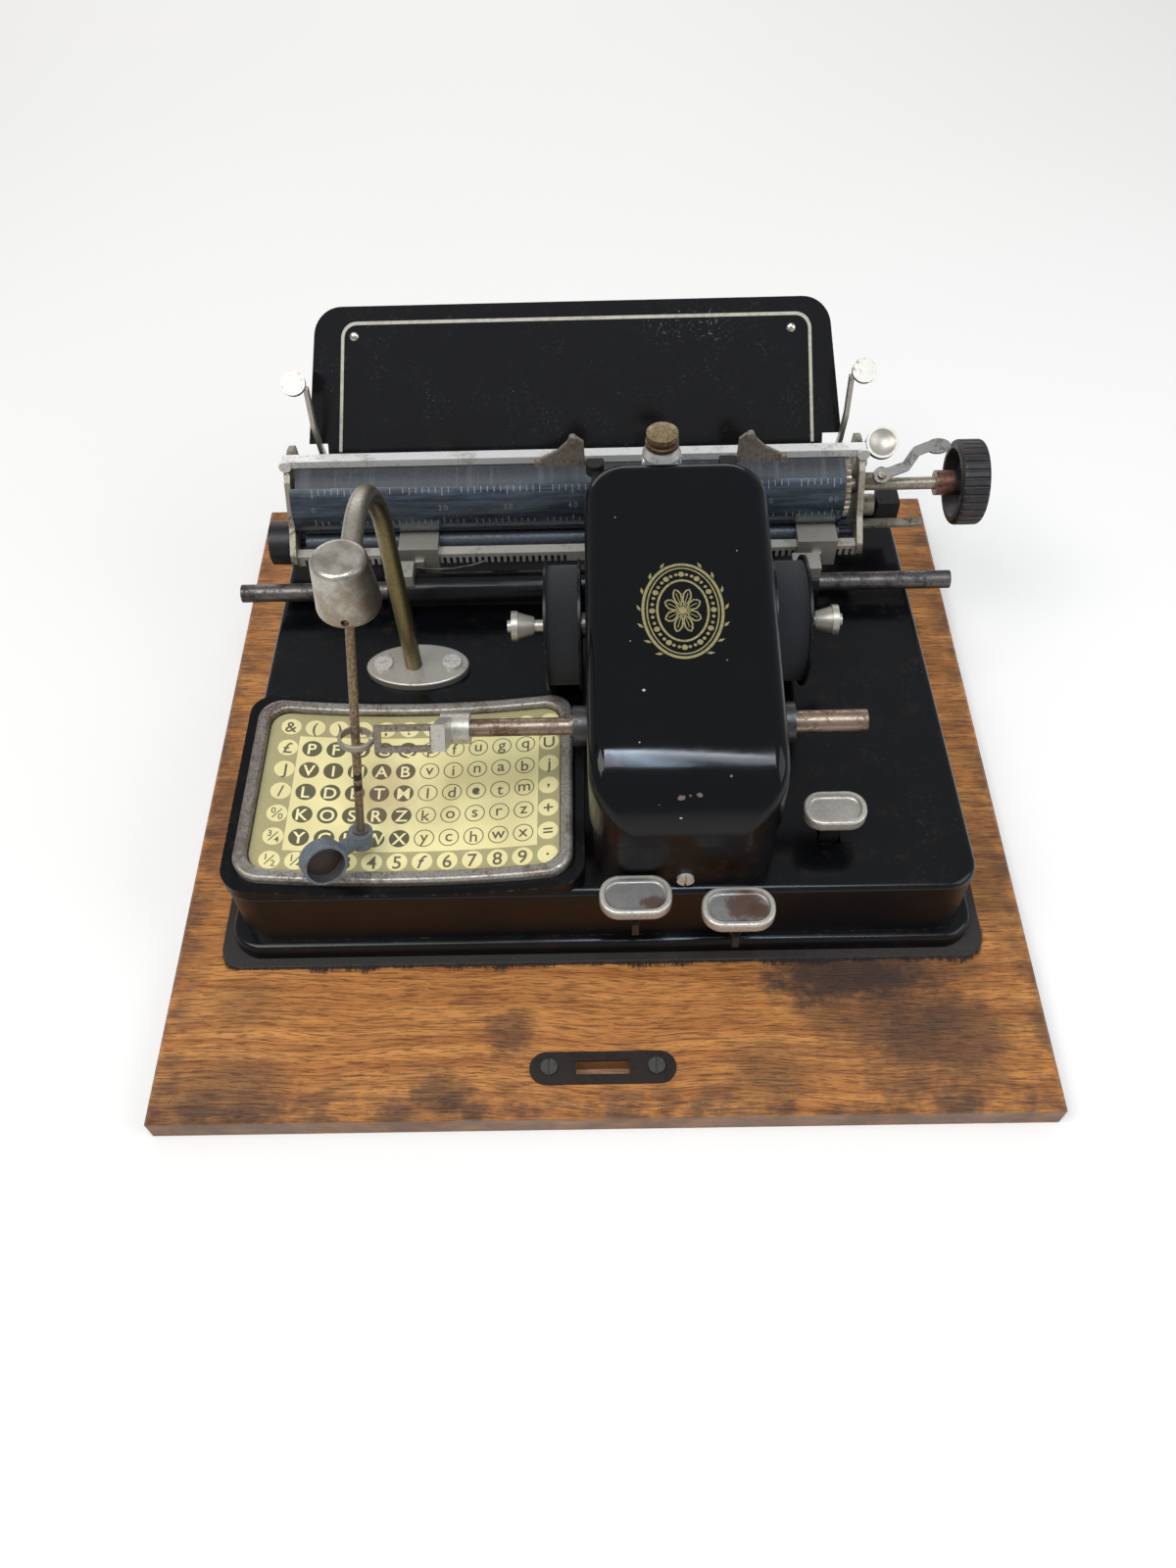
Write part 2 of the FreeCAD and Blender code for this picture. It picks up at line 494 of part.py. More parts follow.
def hood_form(name, inset):
    """The hood's rounded form, drawn in by inset: a side view with a round nose, rounded corners in
    plan, and every edge of the top softened. The hollow runs out through the seat."""
    low = value(SEAT)
    nose = value("-(hood_front - (%s))" % inset)
    sides = (HOOD_LEFT + " + " + inset, HOOD_RIGHT + " - " + inset)
    blank = prism(name + "_side", "yz", hood_profile(inset), sides)
    bend = rounded(name + "_nose", blank, "hood_front_round - " + inset,
                   lambda edge: edge.BoundBox.XLength > 1 and edge.BoundBox.ZMin > low + 1
                   and edge.BoundBox.YMax < nose + 1)
    front, back = "-(hood_front - (%s))" % inset, "(hood_back - (%s))" % inset
    plan = prism(name + "_plan", "xy", [(sides[0], front), (sides[1], front), (sides[1], back), (sides[0], back)],
                 (SEAT, SEAT + " + hood_rear_tall"), "hood_corner - " + inset)
    form = common(name + "_form", [bend, plan])
    doc.recompute()

    def on_rim(edge):
        """An edge between the upright walls and the top."""
        if edge.BoundBox.ZMax < low + 1 or len(edge.Vertexes) < 2:
            return False
        if edge.BoundBox.ZMin < low + 1:
            return False
        faces = [face for face in form.Shape.Faces
                 if any(edge.isSame(other) for other in face.Edges)]
        upright = [abs(face.normalAt(*face.Surface.parameter(edge.valueAt(
            (edge.FirstParameter + edge.LastParameter) / 2))).z) < 0.01 for face in faces]
        return len(faces) == 2 and any(upright) and not all(upright)
    soft = rounded(name + "_soft", form, "hood_edge_round - " + inset, on_rim)
    if inset == "0":
        return soft
    foot = prism(name + "_foot", "xy", [(sides[0], front), (sides[1], front), (sides[1], back), (sides[0], back)],
                 (SEAT + " - overrun", SEAT), "hood_corner - " + inset)
    return fuse(name + "_open", [soft, foot])


def build_hood():
    soft = hood_form("hood_outside", "0")
    inner = hood_form("hood_hollow", "hood_wall")
    through = (HOOD_LEFT + " - overrun", HOOD_RIGHT + " + overrun")
    holes = [cylinder("hood_tube_hole", "x", "tube_radius + run_gap", through, ("-shaft_forward", "shaft_up")),
             cylinder("hood_stub_hole", "x", "stub_radius + pin_fit", through, ("spool_back", "spool_up")),
             box("hood_window", ("type_across - window_wide / 2", "type_across + window_wide / 2"),
                 ("hood_back - hood_wall - overrun", "hood_back + overrun"),
                 (SEAT + " - overrun", SEAT + " + window_tall - window_drop"))]
    keep("hood", cut("hood", soft, [inner] + holes))

    def housing_plan(inset):
        """The housing's plan, drawn in from the hood's by inset."""
        left, right = HOOD_LEFT + " + " + inset, HOOD_RIGHT + " - (" + inset + ")"
        front, back = "-hood_front + " + inset, "housing_back + housing_inset - (" + inset + ")"
        return [(left, front), (right, front), (right, back), (left, back)]
    outer = prism("housing_outside", "xy", housing_plan("housing_inset"), (DECK, SEAT), "hood_corner - housing_inset")
    inner = prism("housing_inside", "xy", housing_plan("housing_inset + housing_wall"),
                  (DECK + " - overrun", SEAT + " + overrun"), "hood_corner - housing_inset - housing_wall")
    notch = box("housing_notch", ("type_across - window_wide / 2", "type_across + window_wide / 2"),
                ("housing_back - housing_wall - overrun", "housing_back + overrun"),
                ("bracket_up - run_gap", SEAT + " + overrun"))
    shell = cut("housing_shell", outer, [inner, notch])
    shelf = box("type_shelf", ("type_across - bracket_wide / 2", "type_across + bracket_wide / 2"),
                ("housing_back - housing_wall", "rack_front - margin_wall * 2"),
                ("bracket_up - run_gap - overrun", "bracket_up - run_gap"))
    keep("lower_housing", fuse("lower_housing", [shell, shelf]))


def tray_bend(name, drop, extra):
    """A lying cylinder, axis along Y, that hollows the tray's top across its width."""
    middle = "-(tray_left + tray_right) / 2"
    radius = "(tray_bend_radius + (%s))" % drop
    return cylinder(name, "y", radius, ("-tray_near - overrun - (%s)" % extra, "tray_far + overrun"),
                    (middle, DECK + " + tray_rise + tray_bend_radius"))


def tray_plan(inset):
    return [("-(tray_left - (%s))" % inset, "-(tray_near - (%s))" % inset),
            ("-(tray_right + (%s))" % inset, "-(tray_near - (%s))" % inset),
            ("-(tray_right + (%s))" % inset, "-(tray_far + (%s))" % inset),
            ("-(tray_left - (%s))" % inset, "-(tray_far + (%s))" % inset)]


def build_tray():
    # the card lies on the tray's hollowed top, and the frame stands on its rim
    tall = DECK + " + tray_bend_radius / 4"
    low = DECK + " - base_wall / 2"
    blank = prism("tray_blank", "xy", tray_plan("0"), (DECK, tall), "tray_corner")
    keep("index_tray", cut("index_tray", blank, [tray_bend("tray_hollow", "0", "0")]))

    ring = cut("frame_ring", prism("frame_outside", "xy", tray_plan("frame_inset"), (low, tall), "tray_corner"),
               [prism("frame_inside", "xy", tray_plan("frame_inset + frame_wide"), (low + " - overrun", tall + " + overrun"),
                      "tray_corner - frame_wide / 2")])
    slab = cut("frame_slab", tray_bend("frame_under", "0", "0"),
               [tray_bend("frame_over", "-frame_thick", "overrun")])
    arched = common("frame_arched", [ring, slab])
    doc.recompute()
    inner_radius = value("tray_bend_radius - frame_thick")
    centre_up = value(DECK + " + tray_rise + tray_bend_radius")
    middle = value("-(tray_left + tray_right) / 2")

    def on_top(edge):
        ends = [edge.valueAt(edge.FirstParameter), edge.valueAt(edge.LastParameter),
                edge.valueAt((edge.FirstParameter + edge.LastParameter) / 2)]
        return all(abs(math.hypot(p.x - middle, p.z - centre_up) - inner_radius) < 0.01 for p in ends)
    keep("index_frame", rounded("index_frame", arched, "frame_round", on_top))

    plan = prism("card_plan", "xy", tray_plan("frame_inset + frame_wide + card_gap"), (low, tall),
                 "tray_corner - frame_wide / 2")
    sheet_slab = cut("card_slab", tray_bend("card_under", "-card_lift", "0"),
                     [tray_bend("card_over", "-card_lift - card_thick", "overrun")])
    keep("index_card", common("index_card", [plan, sheet_slab]))


def build_neck():
    thick = (DECK, DECK + " + neck_flange_thick")
    middle_y = "neck_back + neck_radius"
    oval = doc.addObject("Part::Ellipse", "flange_oval")
    bind(oval, "MajorRadius", "neck_flange_length / 2")
    bind(oval, "MinorRadius", "neck_flange_wide / 2")
    place(oval, ("-neck_across", middle_y, DECK))
    plate = doc.addObject("Part::Extrusion", "flange_plate")
    plate.Base = oval
    plate.DirMode = "Custom"
    plate.Dir = Vector(0, 0, 1)
    plate.Solid = True
    bind(plate, "LengthFwd", "neck_flange_thick")
    doc.recompute()
    deck = value(DECK)
    soft = rounded("flange_soft", plate, "neck_flange_soft", lambda edge: edge.BoundBox.ZMin > deck)
    bores = [cylinder("flange_screw_bore_%d" % side, "z", "screw_radius / 2 + pin_fit",
                      (DECK + " - overrun", DECK + " + neck_flange_thick + overrun"),
                      ("-neck_across + %d * neck_flange_length / 3" % side, middle_y)) for side in (-1, 1)]
    bores.append(cylinder("flange_tube_bore", "z", "neck_radius + pin_fit",
                          (DECK + " - overrun", DECK + " + neck_flange_thick + overrun"),
                          ("-neck_across - neck_lean", middle_y)))
    keep("swan_flange", cut("swan_flange", soft, bores))

    # the tube rises, turns over forward and runs down into the back of the bell
    x, y = sized("-neck_across - neck_lean", middle_y)
    low, bend, top, radius = sized(DECK, "neck_bend", "neck_top", "neck_radius")
    fall = math.radians(value("neck_dip"))
    end_x, end_y = sized("-bell_across", "-bell_forward + bell_top_radius - bell_wall / 2")
    arc_centre = Vector(x, y - bend, top)
    start = Vector(x, y, low)
    rise = Vector(x, y, top)
    half = (math.pi / 2 + fall) / 2
    middle_point = arc_centre + Vector(0, bend * math.cos(half), bend * math.sin(half))
    turned_end = arc_centre + Vector(0, -bend * math.sin(fall), bend * math.cos(fall))
    run = (turned_end.y - end_y) / math.cos(fall)
    finish = turned_end + Vector(0, -run * math.cos(fall), -run * math.sin(fall))
    path = Part.Wire([Part.LineSegment(start, rise).toShape(),
                      Part.Arc(rise, middle_point, turned_end).toShape(),
                      Part.LineSegment(turned_end, finish).toShape()])
    section = Part.Wire([Part.Circle(start, Vector(0, 0, 1), radius).toShape()])
    bent = path.makePipeShell([section], True, False)
    shift = (end_x - x)
    neck = bent.copy()
    matrix = FreeCAD.Matrix()
    matrix.A13 = shift / (finish.z - low)
    matrix.A14 = -matrix.A13 * low
    neck = neck.transformGeometry(matrix)
    keep("swan_neck", shaped("swan_neck", neck))
    return Vector(end_x, finish.y, finish.z)


def build_bell():
    blank = turned("bell_blank", "z",
                   [("0", "0"), ("0", "bell_radius"), ("bell_tall", "bell_top_radius"), ("bell_tall", "0")],
                   ("-bell_across", "-bell_forward", "bell_low"))
    top, low = sized("bell_low + bell_tall", "bell_low")
    soft = rounded("bell_soft", blank, "bell_round",
                   lambda edge: edge.BoundBox.ZLength < 0.01 and (edge.BoundBox.ZMin > top - 1
                                                                  or edge.BoundBox.ZMax < low + 1))
    centre = ("-bell_across", "-bell_forward")
    hollow = cone("bell_hollow", "z", "bell_radius - bell_wall", "bell_top_radius - bell_wall",
                  ("bell_low - overrun / 10", "bell_low + bell_tall - bell_roof"), centre)
    across = cylinder("bell_pin_hole", "y", "gimbal_pin_radius + pin_fit",
                      ("-bell_forward - bell_radius - overrun", "-bell_forward + bell_radius + overrun"),
                      ("-bell_across", PIVOT_UP))
    keep("joint_bell", cut("joint_bell", soft, [hollow, across, neck_socket()]))


def neck_socket():
    """The hole in the bell's back that the neck's end fills, a little wider than the tube."""
    tool = doc.addObject("Part::Feature", "neck_socket")
    tool.Shape = neck_end(value("neck_radius + pin_fit"))
    return tool


def neck_end(radius):
    """A straight run along the neck's last stretch, long enough to pass the bell's wall."""
    fall = math.radians(value("neck_dip"))
    x, y, z = NECK_FINISH
    way = Vector(0, -math.cos(fall), -math.sin(fall))
    long = value("bell_radius")
    return Part.makeCylinder(radius, long, Vector(x, y, z) - way * (long - value("pin_fit")), way)


def rod_line():
    """The pointer's pivot, the unit vector down the rod and its length."""
    pivot = Vector(*sized("-bell_across", "-bell_forward", PIVOT_UP))
    tip = Vector(*sized("-tip_across", "-tip_forward", "tip_up"))
    way = tip - pivot
    return pivot, way.normalize(), (tip - pivot).Length


def build_pointer():
    size, pin, wall, gap = sized("gimbal_size", "gimbal_pin_radius", "fork_wall", "fork_gap")
    pivot, way, length = rod_line()
    sideways = math.degrees(math.atan2(way.x, -way.z))
    forward = math.degrees(math.asin(way.y))
    lean = Rotation(Vector(0, 1, 0), -sideways)
    half_block = size / 2
    cross_half = half_block + gap + wall
    block = Part.makeBox(size, size, size, Vector(-half_block, -half_block, -half_block))
    cross_pin = Part.makeCylinder(pin, 2 * cross_half, Vector(-cross_half, 0, 0), Vector(1, 0, 0))
    reach = value("bell_top_radius")
    long_pin = Part.makeCylinder(pin, 2 * reach, Vector(0, -reach, 0), Vector(0, 1, 0))
    gimbal = block.multiFuse([cross_pin, long_pin])
    keep("pointer_gimbal", shaped("pointer_gimbal", gimbal, Placement(pivot, lean)))

    # the rod's head is a fork whose ears hang on the gimbal's cross pin
    radius = value("pointer_radius")
    half = cross_half
    drop = size * 0.5 * math.sqrt(2) + gap + wall
    bridge = Part.makeBox(2 * half, 2 * pin + 2 * wall, wall, Vector(-half, -pin - wall, -drop))
    ears = [Part.makeBox(wall, 2 * pin + 2 * wall, drop, Vector(x, -pin - wall, -drop))
            for x in (-half, half - wall)]
    eyes = [Part.makeCylinder(pin + wall, wall, Vector(x, 0, 0), Vector(1, 0, 0)) for x in (-half, half - wall)]
    tip_long, tip_radius = sized("tip_length", "tip_radius")
    rod = Part.makeCylinder(radius, length - drop - tip_long, Vector(0, 0, -drop), Vector(0, 0, -1))
    point = Part.makeCone(radius, tip_radius, tip_long, Vector(0, 0, -(length - tip_long)), Vector(0, 0, -1))
    barrel = Part.makeCylinder(value("barrel_radius"), value("barrel_length"),
                               Vector(0, 0, -(length - tip_long)), Vector(0, 0, 1))
    head = bridge.multiFuse(ears + eyes + [rod, point, barrel]).removeSplitter()
    head = head.cut(Part.makeCylinder(pin + value("pin_fit"), 4 * half, Vector(-2 * half, 0, 0), Vector(1, 0, 0)))
    # the fork stays square to the pins: it leans forward about the cross pin, then sideways about the long one
    turn = lean * Rotation(Vector(1, 0, 0), forward)
    keep("pointer_rod", shaped("pointer_rod", head, Placement(pivot, turn)))

    # finger cup on a lug that clips round the barrel
    outer, inner, wide = sized("ring_outer", "ring_inner", "ring_wide")
    centre = Vector(*sized("-ring_across", "-ring_forward", "ring_up"))
    facing = Vector(0.45, -0.8, 0.35).normalize()
    ring = Part.makeCylinder(outer, wide, centre - facing * (wide / 2), facing)
    hole = Part.makeCylinder(inner, wide, centre - facing * (wide / 2 - value("ring_floor")), facing)
    ring = ring.makeFillet((outer - inner) / 2, [edge for edge in ring.Edges if len(edge.Vertexes) < 2])
    barrel_middle = pivot + way * (length - tip_long - value("barrel_length") / 2)
    lug_way = (centre - barrel_middle).normalize()
    reach = (centre - barrel_middle).Length - (outer + inner) / 2
    grip = value("barrel_radius")
    lug = Part.makeCone(grip * 0.9, grip * 1.1, reach, barrel_middle, lug_way)
    sleeve = Part.makeCylinder(grip * 1.5, value("barrel_length") * 0.8,
                               barrel_middle - way * (value("barrel_length") * 0.4), way)
    bore = Part.makeCylinder(grip, value("barrel_length") * 2, barrel_middle - way * value("barrel_length"), way)
    loop = ring.multiFuse([lug, sleeve]).cut(hole).cut(bore)
    keep("pointer_ring", shaped("pointer_ring", loop))


def eye_point():
    pivot, way, length = rod_line()
    return pivot + way * (length * value("eye_share"))


def build_index_shaft():
    # round tube with rack grooves along its underside, sliding in the hood's collars
    centre = ("-shaft_forward", "shaft_up")
    y, z = sized(*centre)
    left, right, radius, bore = sized("-tube_left", "tube_right", "tube_radius", "shaft_radius + shaft_fit")
    outside = fuse("index_tube_outside", [
        cylinder("index_tube_thin", "x", "tube_thin_radius", ("-tube_left", "-tube_step"), centre),
        cylinder("index_tube_main", "x", "tube_radius", ("-tube_step", "tube_right"), centre)])
    body = cut("index_tube_blank", outside, [
        cylinder("index_tube_bore", "x", "shaft_radius + shaft_fit",
                 ("-tube_left - overrun", "tube_right + overrun"), centre)])
    doc.recompute()
    module, teeth, share_right, share_left = sized("rack_tooth", "rack_teeth", "rack_right_share", "rack_left_share")
    pitch = math.pi * module
    middle = value("type_across")
    grooves = []
    for i in range(-int(teeth * share_right), int(teeth * share_left) + 1):
        x = middle - i * pitch
        low = z - radius - value("pinion_gap")
        points = [Vector(x + share * pitch, 0, low + up) for share, up in
                  ((-0.42, 0), (0.42, 0), (0.2, 2.3 * module), (-0.2, 2.3 * module))]
        face = Part.Face(Part.makePolygon(points + points[:1]))
        face.translate(Vector(0, y - radius, 0))
        grooves.append(face.extrude(Vector(0, 2 * radius, 0)))
    keep("index_tube", shaped("index_tube", body.Shape.cut(Part.makeCompound(grooves))))

    # inner shaft with its clamp, and the yoke that carries the eye
    shaft = cylinder("inner_shaft", "x", "shaft_radius",
                     ("-tube_left - clamp_length - run_gap", "tube_right - overrun"), centre)
    clamp = cylinder("shaft_clamp", "x", "clamp_radius",
                     ("-tube_left - clamp_length - run_gap", "-tube_left - run_gap"), centre)
    shaft_axis = Vector(0, y, z)
    eye = eye_point()
    out = Vector(0, eye.y - y, eye.z - z)
    reach = out.Length
    out.normalize()
    across = Vector(0, -out.z, out.y)
    thick, tall, bar, yoke = sized("link_thick", "link_tall", "link_bar", "link_length")
    right_x = value("-tube_left - run_gap")
    outer_radius = value("eye_radius")
    clear = value("run_gap")
    yoke_left = eye.x + outer_radius + clear
    turn = Rotation(Vector(0, 0, 1), out)

    def slab(x_low, x_high, out_low, out_high, half_wide):
        """A block in the yoke's own plane: along X, out from the shaft and across."""
        corner = Part.makeBox(x_high - x_low, 2 * half_wide, out_high - out_low,
                              Vector(x_low, -half_wide, out_low))
        lean = math.degrees(math.atan2(-out.y, out.z))
        corner.rotate(Vector(), Vector(1, 0, 0), lean)
        corner.translate(shaft_axis)
        return corner
    web = slab(right_x - value("clamp_length"), right_x - value("clamp_length") + bar * 2, 0, reach + thick / 2,
               tall / 2)
    plate = slab(yoke_left, right_x - value("clamp_length") + bar * 2, reach - thick / 2, reach + thick / 2, tall / 2)
    window = slab(yoke_left + bar, right_x - value("clamp_length") - bar / 2, reach - thick, reach + thick,
                  tall / 2 - bar)
    pin_end = eye.x + value("eye_bore") + bar / 4
    pin = Part.makeCylinder(bar / 2, yoke_left + bar - pin_end, Vector(pin_end, eye.y, eye.z), Vector(1, 0, 0))
    yoke_shape = web.fuse(plate).cut(window).fuse(pin)
    keep("index_shaft", fuse("index_shaft", [shaft, clamp, shaped("index_yoke", yoke_shape)]))

    collars = [tube("collar_" + name, "x", "collar_radius", "tube_radius + shaft_fit", span, centre)
               for name, span in (("left", (HOOD_LEFT + " - collar_length", HOOD_LEFT)),
                                  ("right", (HOOD_RIGHT, HOOD_RIGHT + " + collar_length")))]
    keep("shaft_collars", group("shaft_collars", collars))

    pivot, way, length = rod_line()
    ring_thick, hole = sized("eye_thick", "eye_bore")
    ring = Part.makeCylinder(outer_radius, ring_thick, eye - way * (ring_thick / 2), way)
    ring = ring.makeFillet(ring_thick / 4, [edge for edge in ring.Edges if len(edge.Vertexes) < 2])
    ring = ring.cut(Part.makeCylinder(hole, ring_thick * 3, eye - way * (ring_thick * 1.5), way))
    boss = Part.makeCylinder(bar * 0.8, bar * 0.7, Vector(eye.x + outer_radius - bar * 0.7, eye.y, eye.z),
                             Vector(1, 0, 0))
    pin_hole = Part.makeCylinder(bar / 2 + value("pin_fit"), bar * 4, Vector(eye.x + hole, eye.y, eye.z),
                                 Vector(1, 0, 0))
    keep("eye_ring", shaped("eye_ring", ring.fuse(boss).cut(pin_hole)))


def toothed_disc(radius, depth, count, thick, share_root, share_tip, phase):
    """A gear or ratchet blank in the XY plane: straight-sided teeth on a disc."""
    points = []
    step = 2 * math.pi / count
    for i in range(count):
        middle = phase + i * step
        for share, reach in ((-share_root, radius - depth), (-share_tip, radius),
                             (share_tip, radius), (share_root, radius - depth)):
            angle = middle + share * step
            points.append(Vector(reach * math.cos(angle), reach * math.sin(angle), 0))
    return Part.Face(Part.makePolygon(points + points[:1])).extrude(Vector(0, 0, thick))


def build_type_drive():
    module, teeth, wide = sized("rack_tooth", "pinion_teeth", "pinion_wide")
    x, y, z = sized("type_across", "-shaft_forward", DRIVE_UP)
    outer = module * teeth / 2 + module * 0.8
    gear = toothed_disc(outer, module * 1.9, int(teeth), wide, 0.3, 0.12, math.pi / 2)
    gear.rotate(Vector(), Vector(1, 0, 0), 90)
    gear.translate(Vector(x, y + wide / 2, z))
    bevel_low = "hood_back - bevel_long"
    axle = cylinder("drive_axle", "y", "drive_radius", ("-shaft_forward - pinion_wide", "hood_back"),
                    ("type_across", DRIVE_UP))
    bevel = cone("drive_bevel", "y", "bevel_radius * 0.7", "bevel_radius", (bevel_low, "hood_back"),
                 ("type_across", DRIVE_UP))
    keep("drive_shaft", fuse("drive_shaft", [shaped("drive_pinion", gear), axle, bevel]))

    centre = ("type_across", "type_back")
    plate = box("bracket_plate", ("type_across - bracket_wide / 3", "type_across + bracket_wide / 3"),
                ("hood_back + run_gap", "type_back + spindle_radius * 2"),
                ("bracket_up", "bracket_up + bracket_thick"))
    hole = cylinder("bracket_hole", "z", "spindle_radius + pin_fit",
                    ("bracket_up - overrun", "bracket_up + bracket_thick + overrun"), centre)
    keep("type_bracket", cut("type_bracket", plate, [hole]))
    low = "bracket_up + bracket_thick + pin_fit"
    spindle = fuse("spindle_blank", [
        cylinder("spindle_rod", "z", "spindle_radius", ("bracket_up", "type_low + type_tall / 2"), centre),
        cylinder("spindle_collar", "z", "spindle_collar_radius", (low, low + " + bracket_thick"), centre)])
    keep("type_spindle", spindle)
    bore = "spindle_radius + shaft_fit"
    keep("type_sleeve", turned("type_sleeve", "z",
                               [("0", bore), ("0", "type_radius"), ("type_tall - type_radius / 2", "type_radius"),
                                ("type_tall", "type_radius * type_top_share"), ("type_tall", bore)],
                               centre + ("type_low",)))
    low = "type_low + type_tall"
    keep("type_knob", turned("type_knob", "z",
                             [("0", "0"), ("0", "type_knob_radius"), ("type_knob_tall / 4", "type_knob_radius"),
                              ("type_knob_tall / 3", "type_knob_radius * 0.8"),
                              ("type_knob_tall / 2", "type_knob_radius * 0.95"),
                              ("type_knob_tall * 0.9", "type_knob_radius * 0.95"),
                              ("type_knob_tall", "type_knob_radius * 0.6"), ("type_knob_tall", "0")],
                             centre + (low,)))
    ring_span = ("type_low - run_gap - collar_ring_tall", "type_low - run_gap")
    ring = cylinder("lift_ring", "z", "collar_ring_radius", ring_span, centre)
    arm = box("lift_arm", ("type_across + collar_ring_radius - lift_arm_wide",
                           "type_across + collar_ring_radius"),
              ("type_back - lift_arm_long", "type_back"), ring_span)
    bore = cylinder("lift_bore", "z", "spindle_collar_radius + run_gap",
                    ("type_low - run_gap - collar_ring_tall - overrun", "type_low + overrun"), centre)
    keep("lift_collar", cut("lift_collar", fuse("lift_blank", [ring, arm]), [bore]))


def oblong(x, y, low, length, wide, thick, corner):
    """A block with rounded upright corners, centred on x and y."""
    block = Part.makeBox(length, wide, thick, Vector(x - length / 2, y - wide / 2, low))
    return block.makeFillet(corner, [edge for edge in block.Edges if edge.BoundBox.ZLength > thick / 2])


def dished_cap(name, middle, low, length, wide):
    """A key top: an oblong with round ends and a raised rim round a shallow dish."""
    x, y, z, long, broad, thick, deep, rim, share = sized(
        middle[0], middle[1], low, length, wide, "cap_thick", "cap_dish_deep", "cap_rim", "cap_corner_share")
    cap = oblong(x, y, z, long, broad, thick, broad * share)
    cap = cap.makeFillet(rim / 2, [edge for edge in cap.Edges if edge.BoundBox.ZLength < deep])
    inside = broad - 2 * rim
    dish = oblong(x, y, z + thick - deep, long - 2 * rim, inside, 2 * deep, inside * share)
    dish = dish.makeFillet(deep * 0.9, [edge for edge in dish.Edges if edge.BoundBox.ZMax < z + thick - deep / 2])
    return shaped(name, cap.cut(dish))


def build_keys():
    height = ("key_pivot_up - lever_tall / 2", "key_pivot_up + lever_tall / 2")
    for name in ("print", "space"):
        side = (name + "_across - lever_thick / 2", name + "_across + lever_thick / 2")
        bar = box(name + "_bar", side, ("-%s_forward - cap_post_radius * 2" % name, "lever_tail"), height)
        post = cylinder(name + "_post", "z", "cap_post_radius",
                        ("key_pivot_up", "cap_up"), (name + "_across", "-%s_forward" % name))
        hub = cylinder(name + "_hub", "x", "key_boss_radius",
                       (name + "_across - lever_thick", name + "_across + lever_thick"), ("0", "key_pivot_up"))
        bore = cylinder(name + "_bore", "x", "key_pivot_radius + pin_fit",
                        (name + "_across - lever_tall", name + "_across + lever_tall"), ("0", "key_pivot_up"))
        keep(name + "_lever", cut(name + "_lever", fuse(name + "_lever_blank", [bar, post, hub]), [bore]))
        keep(name + "_cap", dished_cap(name + "_cap", (name + "_across", "-%s_forward" % name), "cap_up",
                                       "cap_length", "cap_wide"))
    side = ("back_across - lever_thick / 2", "back_across + lever_thick / 2")
    bar = box("back_bar", side, ("-back_forward - lever_thick / 2", "lever_tail"), height)
    stem = box("back_stem", ("back_across - lever_tall / 2", "back_across + lever_tall / 2"),
               ("-back_forward - lever_thick / 2", "-back_forward + lever_thick / 2"), ("key_pivot_up", "back_cap_up"))
    hub = cylinder("back_hub", "x", "key_boss_radius", ("back_across - lever_thick", "back_across + lever_thick"),
                   ("0", "key_pivot_up"))
    bore = cylinder("back_bore", "x", "key_pivot_radius + pin_fit",
                    ("back_across - lever_tall", "back_across + lever_tall"), ("0", "key_pivot_up"))
    keep("back_lever", cut("back_lever", fuse("back_lever_blank", [bar, stem, hub]), [bore]))
    keep("back_cap", dished_cap("back_cap", ("back_across", "-back_forward"), "back_cap_up",
                                "back_cap_length", "back_cap_wide"))


def build_spools():
    stubs = []
    for name, edge, out in (("left", HOOD_LEFT, -1), ("right", HOOD_RIGHT, 1)):
        centre = ("spool_back", "spool_up")

        def reach(text):
            return "%s %s (%s)" % (edge, "-" if out < 0 else "+", text)

        def span(near, far):
            ends = (reach(near), reach(far))
            return ends if out > 0 else ends[::-1]
        stubs.append(fuse("stub_" + name, [
            cylinder("stub_rod_" + name, "x", "stub_radius", span("-stub_long / 4", "stub_long"), centre),
            cylinder("stub_shoulder_" + name, "x", "stub_radius * 2", span("0", "spool_gap - run_gap"), centre)]))
        bore_radius = "stub_radius + spool_bore_fit"
        flanges = [cylinder("%s_flange_%s" % (name, part), "x", "spool_radius", span(*ends), centre)
                   for part, ends in (("in", ("spool_gap", "spool_gap + spool_thick")),
                                      ("out", ("spool_gap + spool_wide - spool_thick", "spool_gap + spool_wide")))]
        core = cylinder(name + "_core", "x", "core_radius", span("spool_gap", "spool_gap + spool_wide"), centre)
        bore = cylinder(name + "_spool_bore", "x", bore_radius,
                        span("spool_gap - overrun", "spool_gap + spool_wide + overrun"), centre)
        keep(name + "_spool", cut(name + "_spool", fuse(name + "_spool_blank", flanges + [core]), [bore]))
        keep(name + "_ribbon", tube(name + "_ribbon", "x", "ribbon_radius", "core_radius",
                                    span("spool_gap + spool_thick", "spool_gap + spool_wide - spool_thick"), centre))
        nut_near = "nut_offset"
        nut = fuse(name + "_nut_blank", [
            cone(name + "_nut_cone", "x", *(("nut_small_radius", "nut_radius * 0.9") if out > 0
                                            else ("nut_radius * 0.9", "nut_small_radius")),
                 span(nut_near, nut_near + " + nut_long"), centre),
            cylinder(name + "_nut_rim", "x", "nut_radius",
                     span(nut_near + " + nut_long", nut_near + " + nut_long + nut_rim"), centre)])
        nut_bore = cylinder(name + "_nut_bore", "x", bore_radius,
                            span(nut_near + " - overrun", nut_near + " + nut_long + nut_rim + overrun"), centre)
        keep(name + "_spool_nut", cut(name + "_spool_nut", nut, [nut_bore]))
    keep("spool_stubs", group("spool_stubs", stubs))


